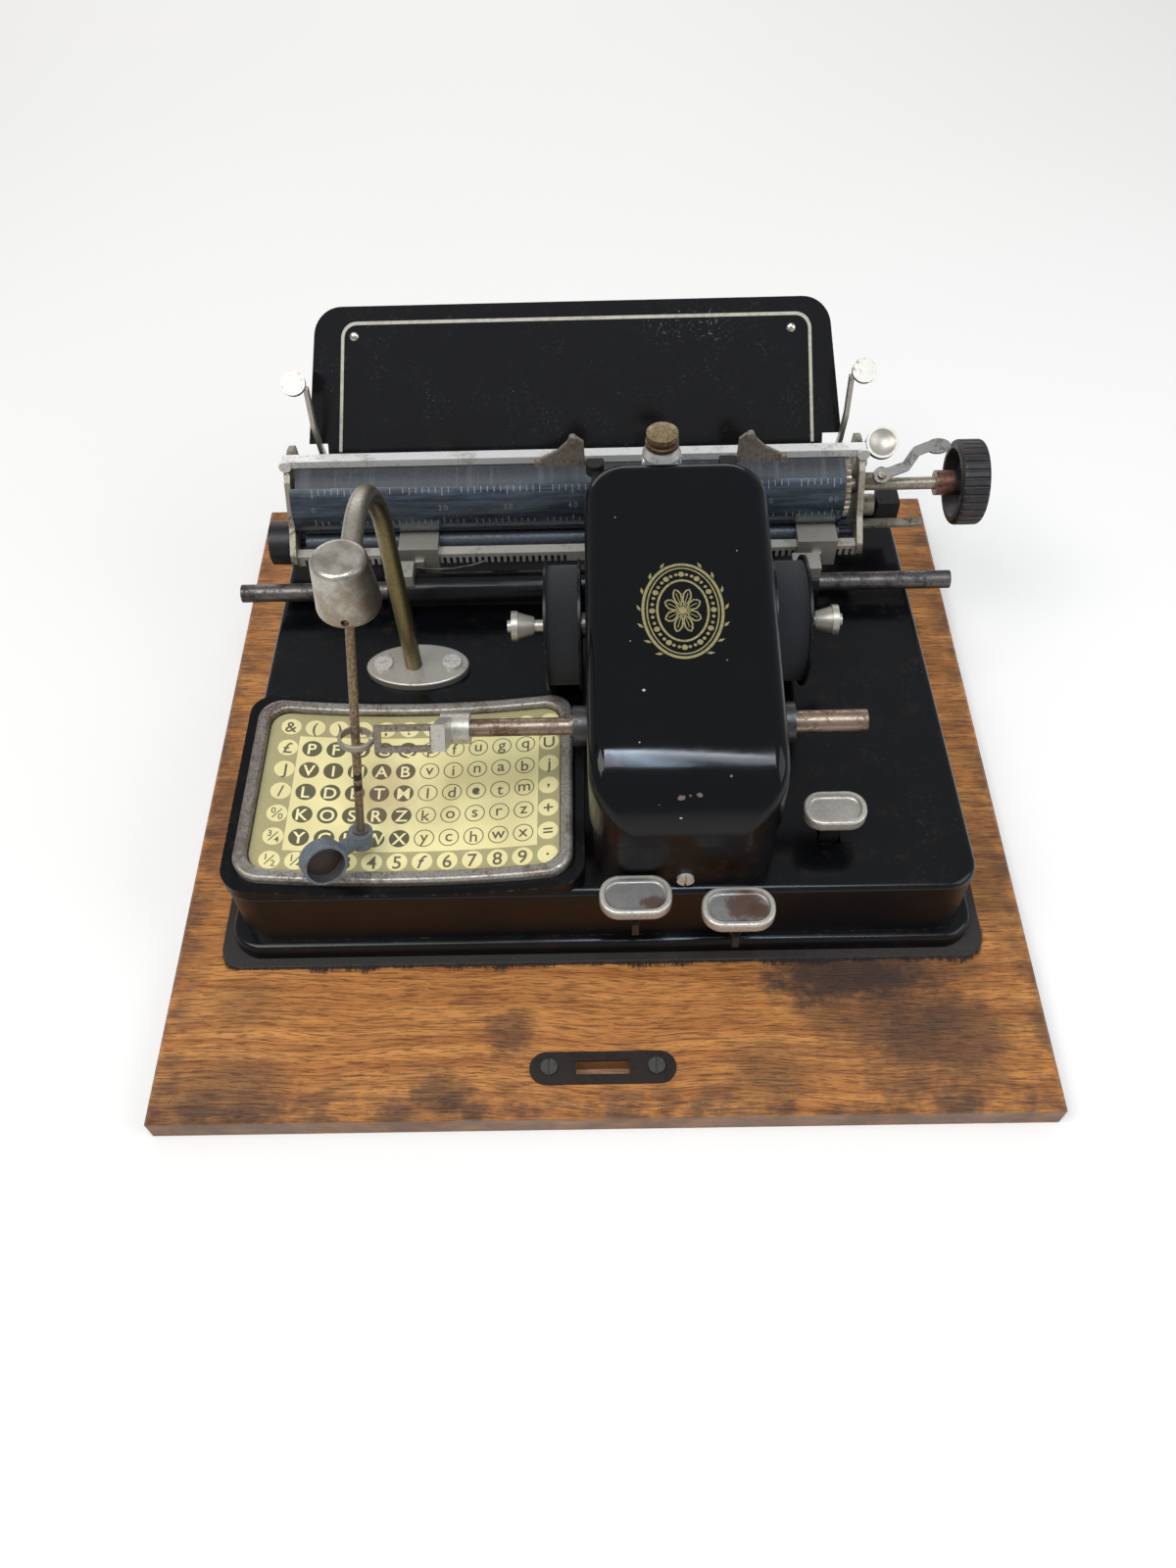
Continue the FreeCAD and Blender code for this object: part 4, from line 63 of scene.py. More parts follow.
class Shade:
    """One material's nodes, written as short calls. Lengths are in millimetres."""

    def __init__(self, name):
        self.material = bpy.data.materials.new(name)
        self.material.use_nodes = True
        self.tree = self.material.node_tree
        self.shader = self.tree.nodes["Principled BSDF"]
        self.here = self.node("ShaderNodeTexCoord").outputs["Object"]
        self.base = None

    def node(self, kind, **settings):
        made = self.tree.nodes.new(kind)
        for key, setting in settings.items():
            setattr(made, key, setting)
        return made

    def put(self, socket, what):
        """Links a socket, or sets a number, a vector or a written colour."""
        if isinstance(what, bpy.types.NodeSocket):
            self.tree.links.new(what, socket)
        elif what is not None:
            socket.default_value = rgb(what) if isinstance(what, str) else what

    def set(self, **inputs):
        """Fills the shader's inputs, the base colour too, and gives back the material."""
        names = {"metal": "Metallic", "rough": "Roughness", "normal": "Normal",
                 "specular": "Specular IOR Level", "sheen": "Sheen Weight"}
        self.put(self.shader.inputs["Base Color"], self.base)
        for key, what in inputs.items():
            self.put(self.shader.inputs[names[key]], what)
        return self.material

    def finish(self, spread, dull, height, depth, **inputs):
        """Sets a roughness that wanders with a noise, and a bump, beside what is given."""
        return self.set(rough=self.ramp(spread, 0.3, 0.7, *dull), normal=self.bump(height, depth), **inputs)

    def space(self, scale=(1, 1, 1), turn=(0, 0, 0), move=(0, 0, 0)):
        """Object coordinates turned, moved and stretched; 1 unit is 1 mm."""
        made = self.node("ShaderNodeMapping")
        self.put(made.inputs["Vector"], self.here)
        made.inputs["Scale"].default_value = [1000 * s for s in scale]
        made.inputs["Rotation"].default_value = turn
        made.inputs["Location"].default_value = move
        return made.outputs["Vector"]

    def noise(self, grain, detail=4.0, rough=0.55, warp=0.0, at=None):
        """Noise whose features are about grain mm across."""
        made = self.node("ShaderNodeTexNoise")
        self.put(made.inputs["Vector"], self.space() if at is None else at)
        made.inputs["Scale"].default_value = 1.0 / grain
        made.inputs["Detail"].default_value = detail
        made.inputs["Roughness"].default_value = rough
        made.inputs["Distortion"].default_value = warp
        return made.outputs["Fac"]

    def cells(self, grain, at=None):
        """The distance to the nearest of points about grain mm apart, in grains."""
        made = self.node("ShaderNodeTexVoronoi", feature="F1")
        self.put(made.inputs["Vector"], self.space() if at is None else at)
        made.inputs["Scale"].default_value = 1.0 / grain
        return made.outputs["Distance"]

    def math(self, how, a, b=0.0, c=0.0):
        made = self.node("ShaderNodeMath", operation=how)
        for socket, what in zip(made.inputs, (a, b, c)):
            self.put(socket, what)
        return made.outputs[0]

    def times(self, a, b):
        return self.math("MULTIPLY", a, b)

    def plus(self, a, b):
        return self.math("ADD", a, b)

    def minus(self, a, b):
        return self.math("SUBTRACT", a, b)

    def larger(self, a, b):
        return self.math("MAXIMUM", a, b)

    def ramp(self, fac, low, high, to_low=0.0, to_high=1.0):
        """A smooth step from to_low to to_high as fac goes from low to high."""
        made = self.node("ShaderNodeMapRange", interpolation_type="SMOOTHSTEP")
        for socket, what in zip(made.inputs, (fac, low, high, to_low, to_high)):
            self.put(socket, what)
        return made.outputs[0]

    def blend(self, fac, a, b):
        """Tone a where fac is 0 and tone b where it is 1."""
        made = self.node("ShaderNodeMix", data_type="RGBA", blend_type="MIX")
        self.put(made.inputs[0], fac)
        self.put(made.inputs[6], a)
        self.put(made.inputs[7], b)
        return made.outputs[2]

    def over(self, tone, mask, share=None):
        """Lays a tone over the base where mask is 1, at a share of its strength."""
        self.base = self.blend(mask if share is None else self.times(mask, share), self.base, tone)

    def parts(self, at=None):
        """The X, Y and Z of a place on the machine, in mm."""
        made = self.node("ShaderNodeSeparateXYZ")
        self.put(made.inputs[0], self.space() if at is None else at)
        return tuple(made.outputs)

    def bump(self, height, depth=0.05):
        """A bump of height 0 to 1, depth mm deep."""
        made = self.node("ShaderNodeBump")
        made.inputs["Distance"].default_value = depth * MM
        self.put(made.inputs["Height"], height)
        return made.outputs[0]

    def edges(self, width):
        """1 along sharp edges, 0 elsewhere."""
        soft = self.node("ShaderNodeBevel", samples=4)
        soft.inputs["Radius"].default_value = width * MM
        plain = self.node("ShaderNodeNewGeometry")
        both = self.node("ShaderNodeVectorMath", operation="DOT_PRODUCT")
        self.put(both.inputs[0], soft.outputs[0])
        self.put(both.inputs[1], plain.outputs["Normal"])
        return self.ramp(both.outputs["Value"], 0.995, 0.80)

    def facing(self, axis, low, high):
        """0 to 1 as a face's normal, along one axis of the room, goes from low to high."""
        normal = self.node("ShaderNodeNewGeometry").outputs["Normal"]
        return self.ramp(self.parts(at=normal)[axis], low, high)

    def under(self, high, low):
        """1 on faces that look down and 0 on faces that look up: the mask of painted shade on undersides.
        """
        return self.facing(2, high, low)

    def near(self, point, reach, soft=0.5, stretch=(1, 1, 1)):
        """1 close to a point in mm, falling to 0 at reach mm, with a ragged rim."""
        away = self.node("ShaderNodeVectorMath", operation="SUBTRACT")
        self.put(away.inputs[0], self.space())
        away.inputs[1].default_value = point
        wide = self.node("ShaderNodeVectorMath", operation="MULTIPLY")
        self.put(wide.inputs[0], away.outputs[0])
        wide.inputs[1].default_value = stretch
        far = self.node("ShaderNodeVectorMath", operation="LENGTH")
        self.put(far.inputs[0], wide.outputs[0])
        wave = self.times(self.minus(self.noise(reach * 0.5, 6, 0.7), 0.5), reach * 1.4)
        return self.ramp(self.plus(far.outputs["Value"], wave), reach, reach * soft)


# Finishes. The card's middle, the pitch of its signs and the radius of their discs, in mm
CARD_X, CARD_Y, CARD_DX, CARD_DY, CARD_R = -67.6, -46.3, 9.0, 10.0, 3.7
# The finger cup's middle and the way its mouth faces
RING_AT, RING_WAY = (-93.0, -88.0, 73.0), (0.4581, -0.8144, 0.3563)
# Old stains on the board, and two strips of painted shade beside the machine: middle, reach, stretch and
# strength
OAK_STAINS_AND_SHADE = (
    ((88, -103, 12), 24, (0.5, 1.5, 1), 0.95), ((98, -118, 12), 24, (0.6, 1.0, 1), 0.55),
    ((-33, -124, 12), 13, (1, 0.9, 1), 0.62), ((122, -128, 12), 30, (0.8, 1, 1), 0.7),
    ((60, -140, 12), 20, (0.9, 1.2, 1), 0.40), ((-135, -146, 12), 22, (0.6, 1, 1), 0.52),
    ((-132, -112, 12), 16, (0.8, 1, 1), 0.35), ((-58, -146, 12), 14, (0.9, 1.3, 1), 0.62),
    # Next line: two long strips along the machine's sides, painted shade.
    ((-150, -30, 12), 18, (1.6, 0.4, 1), 0.35), ((150, -60, 12), 16, (1.5, 0.4, 1), 0.35),
    ((120, -101, 12), 20, (0.5, 2.0, 1), 0.5),
)


def make_oak():
    """Stained oak: orange brown with thin dark pores along the grain, a handled rim, old stains and painted
    shade beside the machine.
    """
    m = Shade("oak")
    x, y, z = m.parts()
    bend = m.noise(75, 2, 0.5)
    level = m.plus(m.plus(y, m.times(z, 0.9)),
                   m.plus(m.times(bend, 9.0), m.times(x, 0.03)))

    def drawn(share):
        """A place drawn out along the grain."""
        line = m.node("ShaderNodeCombineXYZ")
        m.put(line.inputs[0], m.times(x, share))
        m.put(line.inputs[1], level)
        return line.outputs[0]
    broad = m.noise(4.2, 4, 0.6, at=drawn(0.045))
    streak = m.noise(0.95, 3, 0.6, at=drawn(0.05))
    fine = m.noise(0.5, 3, 0.6, at=drawn(0.06))
    m.base = m.blend(m.ramp(broad, 0.34, 0.66), "985c28", "bd8040")
    m.over("a5652c", m.ramp(m.noise(40, 3), 0.40, 0.68, 0.0, 0.45))
    m.over("5c361c", m.ramp(streak, 0.50, 0.63, 0.0, 0.6))
    pores = m.ramp(fine, 0.53, 0.63)
    m.over("3b2213", pores, 0.62)
    rim = m.larger(m.ramp(m.math("ABSOLUTE", x), 143, 161),
                 m.ramp(m.times(y, -1.0), 134, 156))
    rim = m.times(rim, m.ramp(m.noise(13, 5, 0.65), 0.36, 0.62))
    m.over("3f2c24", rim, 0.74)
    # Stains, and the painted shade beside the machine, laid on in one dark tone.
    for point, reach, stretch, strength in OAK_STAINS_AND_SHADE:
        spot = m.near(point, reach, 0.3, stretch)
        m.over("35241c", spot, strength)
    side = m.ramp(z, 10.6, 9.6)
    m.over("7c6350", side, 0.55)
    worn = m.times(m.edges(1.2), m.ramp(m.noise(7, 4, 0.6), 0.42, 0.60))
    m.over("9c8064", worn, 0.5)
    height = m.minus(m.times(streak, 0.4), pores)
    return m.set(rough=m.ramp(m.noise(20, 4), 0.3, 0.7, 0.42, 0.6), normal=m.bump(height, 0.09),
                 specular=0.35)


def make_felt():
    """Black felt gone brown."""
    m = Shade("felt")
    fuzz = m.noise(0.5, 6, 0.8)
    clumps = m.noise(7, 5, 0.65)
    m.base = m.blend(m.ramp(fuzz, 0.36, 0.68), "120f0d", "3a322d")
    m.over("241d1a", m.ramp(clumps, 0.46, 0.66, 0.0, 0.7))
    return m.set(rough=0.97, normal=m.bump(fuzz, 0.6), sheen=0.25, specular=0.1)


def make_enamel(name, dust, wear, gloss, seed, warm, specular):
    """Black stoved enamel: deep gloss, faint orange peel, dust, hair scratches and worn edges."""
    m = Shade(name)
    moved = m.space(move=(seed, seed * 0.7, seed * 0.3))
    patch = m.noise(16, 5, 0.62, at=moved)
    specks = m.times(m.ramp(m.cells(1.5, at=moved), 0.10, 0.03), m.ramp(patch, 0.46, 0.66))
    up = m.node("ShaderNodeNewGeometry").outputs["Normal"]
    upward = m.ramp(m.parts(at=up)[2], 0.2, 0.85)
    film = m.times(m.ramp(m.noise(2.2, 7, 0.75, at=moved), 0.50, 0.78), m.ramp(patch, 0.42, 0.76))
    film = m.times(m.times(film, upward), dust)
    m.base = m.blend(film, "060709", "3c3a37")
    m.over("8f8b82", m.times(specks, upward), dust)
    if warm:
        rusty = m.ramp(m.noise(9, 6, 0.7, at=moved), 0.54, 0.70, 0.0, warm)
        m.over("2b1d17", rusty)
    hair = m.noise(0.5, 2, 0.5, at=m.space(scale=(0.03, 1.0, 1.0), turn=(0.3, 0.2, 0.9)))
    hair = m.times(m.ramp(hair, 0.71, 0.76), m.ramp(m.noise(30, 2, at=moved), 0.52, 0.62))
    m.over("55534f", hair, 0.2)
    bare = m.times(m.edges(0.9), m.ramp(m.noise(2.6, 5, 0.7, at=moved), 0.52, 0.66))
    bare = m.times(bare, wear)
    m.over("5a4f46", bare)
    rough = m.plus(m.ramp(patch, 0.3, 0.75, gloss, gloss + 0.07), m.times(film, 0.45))
    rough = m.plus(rough, m.times(bare, 0.3))
    rough = m.plus(rough, m.times(m.minus(1.0, upward), 0.14))
    height = m.minus(m.times(m.noise(3.6, 2, 0.4, at=moved), 0.5),
                    m.times(bare, 0.8))
    return m.set(rough=rough, normal=m.bump(height, 0.022), specular=specular)


def make_table():
    """The paper table: black enamel with a scatter of pale scuffs right of its middle."""
    m = Shade("enamel_table")
    fine = m.noise(1.2, 7, 0.78)
    patch = m.noise(14, 4, 0.6)
    haze = m.times(m.ramp(fine, 0.50, 0.72), m.ramp(patch, 0.44, 0.66))
    m.base = m.blend(m.times(haze, 0.45), "08080a", "2c3031")
    specks = m.times(m.ramp(m.cells(2.1), 0.085, 0.03), m.ramp(patch, 0.48, 0.62))
    m.over("9a9b98", specks, 0.6)
    for point, reach, stretch in (((34, 118, 137), 15, (0.55, 1.5, 1.5)), ((48, 122, 133), 9, (1, 1, 1))):
        spot = m.times(m.near(point, reach, 0.1, stretch), m.ramp(fine, 0.56, 0.66))
        m.over("8e9596", spot, 0.75)
    bare = m.times(m.edges(0.7), m.ramp(m.noise(2.6, 5, 0.7), 0.50, 0.64))
    m.over("6a5a4c", bare, 0.6)
    rough = m.plus(0.16, m.times(haze, 0.35))
    return m.set(rough=rough, normal=m.bump(m.noise(3.6, 2, 0.4), 0.02), specular=0.38)


def make_metal(name, clean, stain, dark, wear, pits, rough, seed, metal, brushed, grain):
    """Old plated metal: clean where it is touched, stained elsewhere, with dark pits and painted shade on
    faces that look down.
    """
    m = Shade(name)
    moved = m.space(move=(seed, seed * 1.3, seed * 0.6))
    broad = m.noise(9 * grain, 5, 0.65, 0.3, at=moved)
    mottled = m.noise(1.3 * grain, 6, 0.74, at=moved)
    mask = m.ramp(m.plus(m.times(broad, 0.58), m.times(mottled, 0.42)),
                  0.64 - 0.22 * wear, 0.76 - 0.22 * wear)
    m.base = m.blend(mask, clean, stain)
    tiny = m.cells(0.55 * grain, at=moved)
    pitted = m.times(m.ramp(tiny, 0.26, 0.06),
                    m.ramp(m.noise(3.0 * grain, 5, 0.7, at=moved), 0.60 - 0.20 * pits, 0.70 - 0.12 * pits))
    m.over(dark, pitted, 0.85)
    m.over(clean, m.edges(0.5), 0.45)
    # Painted shade: faces that look down are darkened with the pit tone.
    m.over(dark, m.under(0.35, -0.5), 0.62)
    height = m.minus(m.times(mottled, 0.35), pitted)
    if brushed:
        lines = m.noise(0.3, 2, 0.5, at=m.space(scale=brushed))
        m.over(stain, m.ramp(lines, 0.45, 0.7, 0.0, 0.35))
        height = m.plus(height, m.times(lines, 0.25))
    dull = m.plus(m.ramp(mottled, 0.3, 0.75, rough[0], rough[1]), m.times(pitted, 0.25))
    dull = m.plus(dull, m.times(mask, 0.10))
    shine = m.times(m.minus(1.0, m.times(pitted, 0.7)), metal)
    return m.set(metal=shine, rough=dull, normal=m.bump(height, 0.045))


def make_cap(name, middle, half, floor, stains, dull, pits):
    """A nickel key cap: a bright rim, a pitted dish painted a darker grey as a painted reflection of the
    dark room, and brown wear where fingers press.
    """
    m = Shade(name)
    x, y, z = m.parts()
    fine = m.noise(0.9, 6, 0.75)
    tiny = m.ramp(m.cells(0.5), 0.26, 0.07)
    across = m.math("DIVIDE", m.minus(x, middle[0]), half[0])
    along = m.math("DIVIDE", m.minus(y, middle[1]), half[1])
    away = m.math("SQRT", m.plus(m.math("POWER", m.math("ABSOLUTE", across), 2.6),
                                 m.math("POWER", m.math("ABSOLUTE", along), 2.6)))
    dish = m.ramp(away, 0.86, 0.70)
    m.base = m.blend(m.ramp(fine, 0.40, 0.72), "c4beb4", "968c80")
    # Painted reflection: the dish is laid over with a darker grey for the dark room that it mirrors.
    m.over("6e6d6d", dish, dull)
    cloud = m.ramp(m.noise(4.5, 5, 0.7), 0.42, 0.62)
    m.over("96918b", m.times(dish, cloud), 0.45)
    for point, reach, stretch in stains:
        spot = m.times(m.near(point, reach, 0.5, stretch), dish)
        m.over("5b4034", spot, 0.85)
    pitted = m.times(tiny, m.ramp(m.noise(2.6, 5, 0.7), 0.70 - 0.3 * pits, 0.84 - 0.3 * pits))
    m.over("33271f", pitted, 0.85)
    low = m.ramp(z, floor + 2.2, floor)
    m.over("5a5148", low, 0.6)
    height = m.minus(m.times(fine, 0.4), pitted)
    return m.finish(fine, (0.26, 0.48), height, 0.05, metal=0.62)


def make_cloth():
    """Inked ribbon: a fine weave of two tones, wound in layers."""
    m = Shade("inked_ribbon")
    tone, lift = "0c0c0f", "1f1f24"
    x, y, z = m.parts()
    warp = m.math("SINE", m.times(x, 12.0))
    turn = m.math("SINE", m.times(m.plus(y, z), 12.0))
    weave = m.times(warp, turn)
    layers = m.noise(0.6, 3, 0.6, at=m.space(scale=(0.05, 1, 1)))
    m.base = m.blend(m.ramp(weave, -0.6, 0.8), tone, lift)
    m.over(tone, m.ramp(layers, 0.4, 0.65, 0, 0.6))
    return m.set(rough=0.82, normal=m.bump(weave, 0.08), sheen=0.1)


def make_rubber():
    """Hard grey rubber with worn bands round the roll."""
    m = Shade("platen_rubber")
    fine = m.noise(0.9, 6, 0.7)
    bands = m.noise(2.2, 3, 0.6, at=m.space(scale=(1.0, 0.04, 0.04)))
    m.base = m.blend(m.ramp(fine, 0.35, 0.7), "1d1f22", "34373b")
    m.over("494b4d", m.ramp(bands, 0.5, 0.7, 0, 0.5))
    return m.finish(fine, (0.45, 0.65), fine, 0.03)


def make_cover():
    """The dark gunmetal scale cover: long dull scratches whose lighter blue tone is partly a painted bluish
    reflection, and a rubbed grey band.
    """
    m = Shade("cover_metal")
    lines = m.noise(1.1, 4, 0.7, at=m.space(scale=(0.06, 1, 1)))
    cloud = m.noise(12, 5, 0.65)
    # Partly painted reflection: the lighter blue of the scratches stands for a bluish sheen as well as for
    # the scratches.
    m.base = m.blend(m.ramp(lines, 0.38, 0.68), "282d34", "414a56")
    m.over("3f4348", m.ramp(cloud, 0.48, 0.68, 0.0, 0.45))
    m.over("5a5d60", m.ramp(m.noise(1.4, 6, 0.75), 0.58, 0.72), 0.4)
    return m.finish(cloud, (0.22, 0.38), lines, 0.02, metal=0.45)


def make_ebonite():
    """Black hard rubber going brown, rubbed at its edges."""
    m = Shade("knob_ebonite")
    dark, brown, share = "1f1e20", "352a26", 0.55
    rusty = m.noise(7, 6, 0.7, 0.4)
    fine = m.noise(0.8, 4, 0.7)
    m.base = m.blend(m.ramp(rusty, 0.62 - 0.25 * share, 0.74 - 0.2 * share), dark, brown)
    m.over("5b5651", m.ramp(fine, 0.5, 0.8, 0, 0.25))
    worn = m.times(m.edges(0.8), m.ramp(m.noise(4, 4), 0.4, 0.65))
    m.over("5b5148", worn, 0.4)
    return m.finish(rusty, (0.34, 0.58), fine, 0.05, specular=0.4)


def make_ring():
    """The finger cup: grey blue outside and dark brown inside its mouth."""
    m = Shade("ring_ebonite")
    fine = m.noise(0.9, 5, 0.7)
    away = m.node("ShaderNodeVectorMath", operation="SUBTRACT")
    m.put(away.inputs[0], m.space())
    away.inputs[1].default_value = RING_AT
    along = m.node("ShaderNodeVectorMath", operation="DOT_PRODUCT")
    m.put(along.inputs[0], away.outputs[0])
    along.inputs[1].default_value = RING_WAY
    far = m.node("ShaderNodeVectorMath", operation="LENGTH")
    m.put(far.inputs[0], away.outputs[0])
    height = along.outputs["Value"]
    off = m.math("SQRT", m.minus(m.math("POWER", far.outputs["Value"], 2.0), m.math("POWER", height, 2.0)))
    m.base = m.blend(m.ramp(fine, 0.38, 0.7), "4a5157", "666d73")
    # Dark brown on the faces within 6.5 mm of the cup's axis, inside its mouth.
    m.over("33251e", m.ramp(off, 6.75, 6.5))
    worn = m.times(m.edges(0.6), m.ramp(m.noise(3, 4), 0.40, 0.62))
    m.over("7d8388", worn, 0.5)
    return m.finish(fine, (0.38, 0.58), fine, 0.05, specular=0.4)


def make_card():
    """Printed card: yellow stock, a hatched border, discs in the border and rings and discs inside."""
    m = Shade("printed_card")
    x, y = m.parts()[:2]
    col = m.plus(m.math("DIVIDE", m.minus(x, CARD_X), CARD_DX), 6.0)
    row = m.plus(m.math("DIVIDE", m.minus(y, CARD_Y), CARD_DY), 3.5)
    across = m.times(m.minus(m.math("FRACT", col), 0.5), CARD_DX)
    along = m.times(m.minus(m.math("FRACT", row), 0.5), CARD_DY)
    away = m.math("SQRT", m.plus(m.times(across, across), m.times(along, along)))

    def between(value, low, high):
        return m.times(m.math("GREATER_THAN", value, low), m.math("LESS_THAN", value, high))

    inside = m.times(between(col, 0.93, 11.07), between(row, 0.93, 6.07))
    printed = m.times(between(col, 0.0, 12.0), between(row, 0.0, 7.0))
    capitals = m.times(inside, m.math("LESS_THAN", col, 6.0))
    disc = m.ramp(away, CARD_R + 0.06, CARD_R - 0.06)
    ring = m.times(disc, m.ramp(away, CARD_R - 0.42, CARD_R - 0.34))
    stripes = m.math("SINE", m.times(m.plus(x, y), 8.5))
    cross = m.math("SINE", m.times(m.minus(x, y), 8.5))
    hatch = m.ramp(m.larger(stripes, cross), -0.3, 0.4)
    paper = m.blend(m.ramp(m.noise(26, 3), 0.35, 0.7), "e2d59c", "d4c790")
    ink = "5c573f"
    border = m.blend(m.times(hatch, 0.82), paper, ink)
    outside = m.times(m.minus(1.0, inside), m.minus(1.0, m.times(disc, printed)))
    m.base = m.blend(outside, paper, border)
    m.over(ink, capitals, disc)
    m.over(ink, m.minus(inside, capitals), ring)
    grime = m.near((-79, -46, 53), 17, 0.1, (1, 0.7, 1))
    m.over("86665a", grime, 0.34)
    rim = m.larger(m.ramp(m.math("ABSOLUTE", m.minus(x, -69.2)), 52, 59),
                 m.ramp(m.math("ABSOLUTE", m.minus(y, -45.4)), 33, 38.5))
    m.over("6a6149", rim, 0.45)
    spots = m.times(m.ramp(m.cells(3.1), 0.09, 0.04), m.ramp(m.noise(14, 3), 0.5, 0.65))
    m.over("6b5a3c", spots, 0.45)
    return m.set(rough=m.ramp(m.noise(18, 4), 0.3, 0.7, 0.42, 0.54),
                 normal=m.bump(m.noise(0.5, 4, 0.7), 0.01), specular=0.25)


def make_frame():
    """The card's nickel frame: bright along the near and far sides, rusting at the left and in spots."""
    m = Shade("nickel_frame")
    x, z = m.parts()[::2]
    fine = m.noise(1.0, 6, 0.76)
    cloud = m.noise(8, 5, 0.7)
    m.base = m.blend(m.ramp(fine, 0.38, 0.70), "a39d94", "6f6860")
    left = m.ramp(m.plus(x, m.times(cloud, 18.0)), -112, -122)
    corner = m.near((-124, -12, 54), 20, 0.2, (1, 1, 1))
    patch = m.ramp(cloud, 0.50, 0.62)
    rust = m.larger(m.larger(left, corner), m.times(patch, 0.7))
    rust = m.times(rust, m.ramp(fine, 0.30, 0.54))
    m.over("5c463d", rust, 0.82)
    low = m.ramp(z, 55.2, 53.6)
    m.over("594a43", low, 0.45)
    pitted = m.times(m.ramp(m.cells(0.6), 0.27, 0.07), m.ramp(m.noise(3, 5, 0.7), 0.46, 0.58))
    m.over("2e2420", pitted, 0.8)
    height = m.minus(m.times(fine, 0.5), pitted)
    return m.finish(fine, (0.26, 0.5), height, 0.05, metal=0.6)


def make_pointer():
    """The pointer's rod: brown nickel with two dark bands near its foot."""
    m = Shade("pointer_metal")
    z = m.parts()[2]
    mottled = m.noise(1.1, 6, 0.72)
    m.base = m.blend(m.ramp(mottled, 0.36, 0.66), "8f7a5c", "54453a")
    m.over("6a6257", m.ramp(z, 84, 70))
    for middle in (91.4, 87.0):
        band = m.ramp(m.math("ABSOLUTE", m.minus(z, middle)), 1.35, 1.05)
        m.over("1d1a18", band, 0.9)
    return m.finish(mottled, (0.34, 0.58), mottled, 0.03, metal=0.7)


def make_neck():
    """Nickel in front, worn through to dull brass on the rear leg, with painted shade on faces turned
    towards +X and down.
    """
    m = Shade("neck_metal")
    y = m.parts()[1]
    broad = m.noise(11, 5, 0.65)
    streak = m.noise(1.1, 6, 0.74)
    through = m.ramp(m.plus(y, m.times(broad, 22.0)), 2.0, 15.0)
    m.base = m.blend(through, "a49c90", "857a5a")
    m.over("5c5043", m.ramp(streak, 0.46, 0.70, 0.0, 0.8))
    m.over("8d8054", m.ramp(m.noise(4, 5, 0.7), 0.56, 0.7, 0, 0.6))
    # Painted shade: faces turned towards +X, and faces that look down, are darkened.
    m.over("37342a", m.facing(0, 0.15, 0.9), 0.6)
    m.over("332e27", m.under(0.1, -0.7), 0.6)
    return m.finish(streak, (0.26, 0.48), streak, 0.04, metal=0.8)


def make_bell():
    """Nickel cup: dark pits on the crown, a bright rim, brown speckle down its side and painted shade on
    the side turned towards +X.
    """
    m = Shade("bell_metal")
    z = m.parts()[2]
    mottled = m.noise(1.0, 7, 0.78)
    broad = m.noise(6, 4, 0.6)
    m.base = m.blend(m.ramp(broad, 0.36, 0.66), "b4afa5", "8f8678")
    m.over("6f6455", m.ramp(mottled, 0.44, 0.70, 0.0, 0.45))
    crown = m.ramp(z, 172.5, 174.0)
    low = m.times(m.ramp(z, 172.0, 160.0), m.ramp(broad, 0.30, 0.62, 0.35, 1.0))
    m.over("8b7763", low, 0.75)
    tiny = m.ramp(m.cells(0.55), 0.30, 0.10)
    spread = m.larger(m.times(crown, m.ramp(m.noise(1.8, 5, 0.7), 0.38, 0.54)),
                    m.ramp(m.noise(2.4, 5, 0.7), 0.52, 0.66))
    pits = m.times(tiny, spread)
    m.over("2c251f", pits, 0.9)
    # Painted shade: faces turned towards +X are darkened.
    m.over("3b342b", m.facing(0, -0.1, 0.95), 0.8)
    height = m.minus(m.times(mottled, 0.5), pits)
    return m.set(metal=m.minus(0.75, m.times(pits, 0.5)),
                 rough=m.ramp(mottled, 0.3, 0.72, 0.22, 0.42), normal=m.bump(height, 0.05))


def make_split(name, first, second, axis, edge, metal, rough, seed):
    """Two tones of worn metal that meet at a level of one axis: first below it, second above."""
    m = Shade(name)
    level = m.parts()[axis]
    moved = m.space(move=(seed, seed, seed))
    fine = m.noise(1.1, 6, 0.75, at=moved)
    cloud = m.noise(6, 4, 0.65, at=moved)
    low = m.blend(m.ramp(fine, 0.40, 0.68), first[0], first[1])
    high = m.blend(m.ramp(fine, 0.40, 0.68), second[0], second[1])
    m.base = m.blend(m.math("GREATER_THAN", level, edge), low, high)
    pitted = m.times(m.ramp(m.cells(0.6, at=moved), 0.26, 0.07), m.ramp(cloud, 0.46, 0.60))
    m.over("2a211b", pitted, 0.75)
    return m.finish(fine, rough, m.minus(m.times(fine, 0.4), pitted), 0.045, metal=metal)


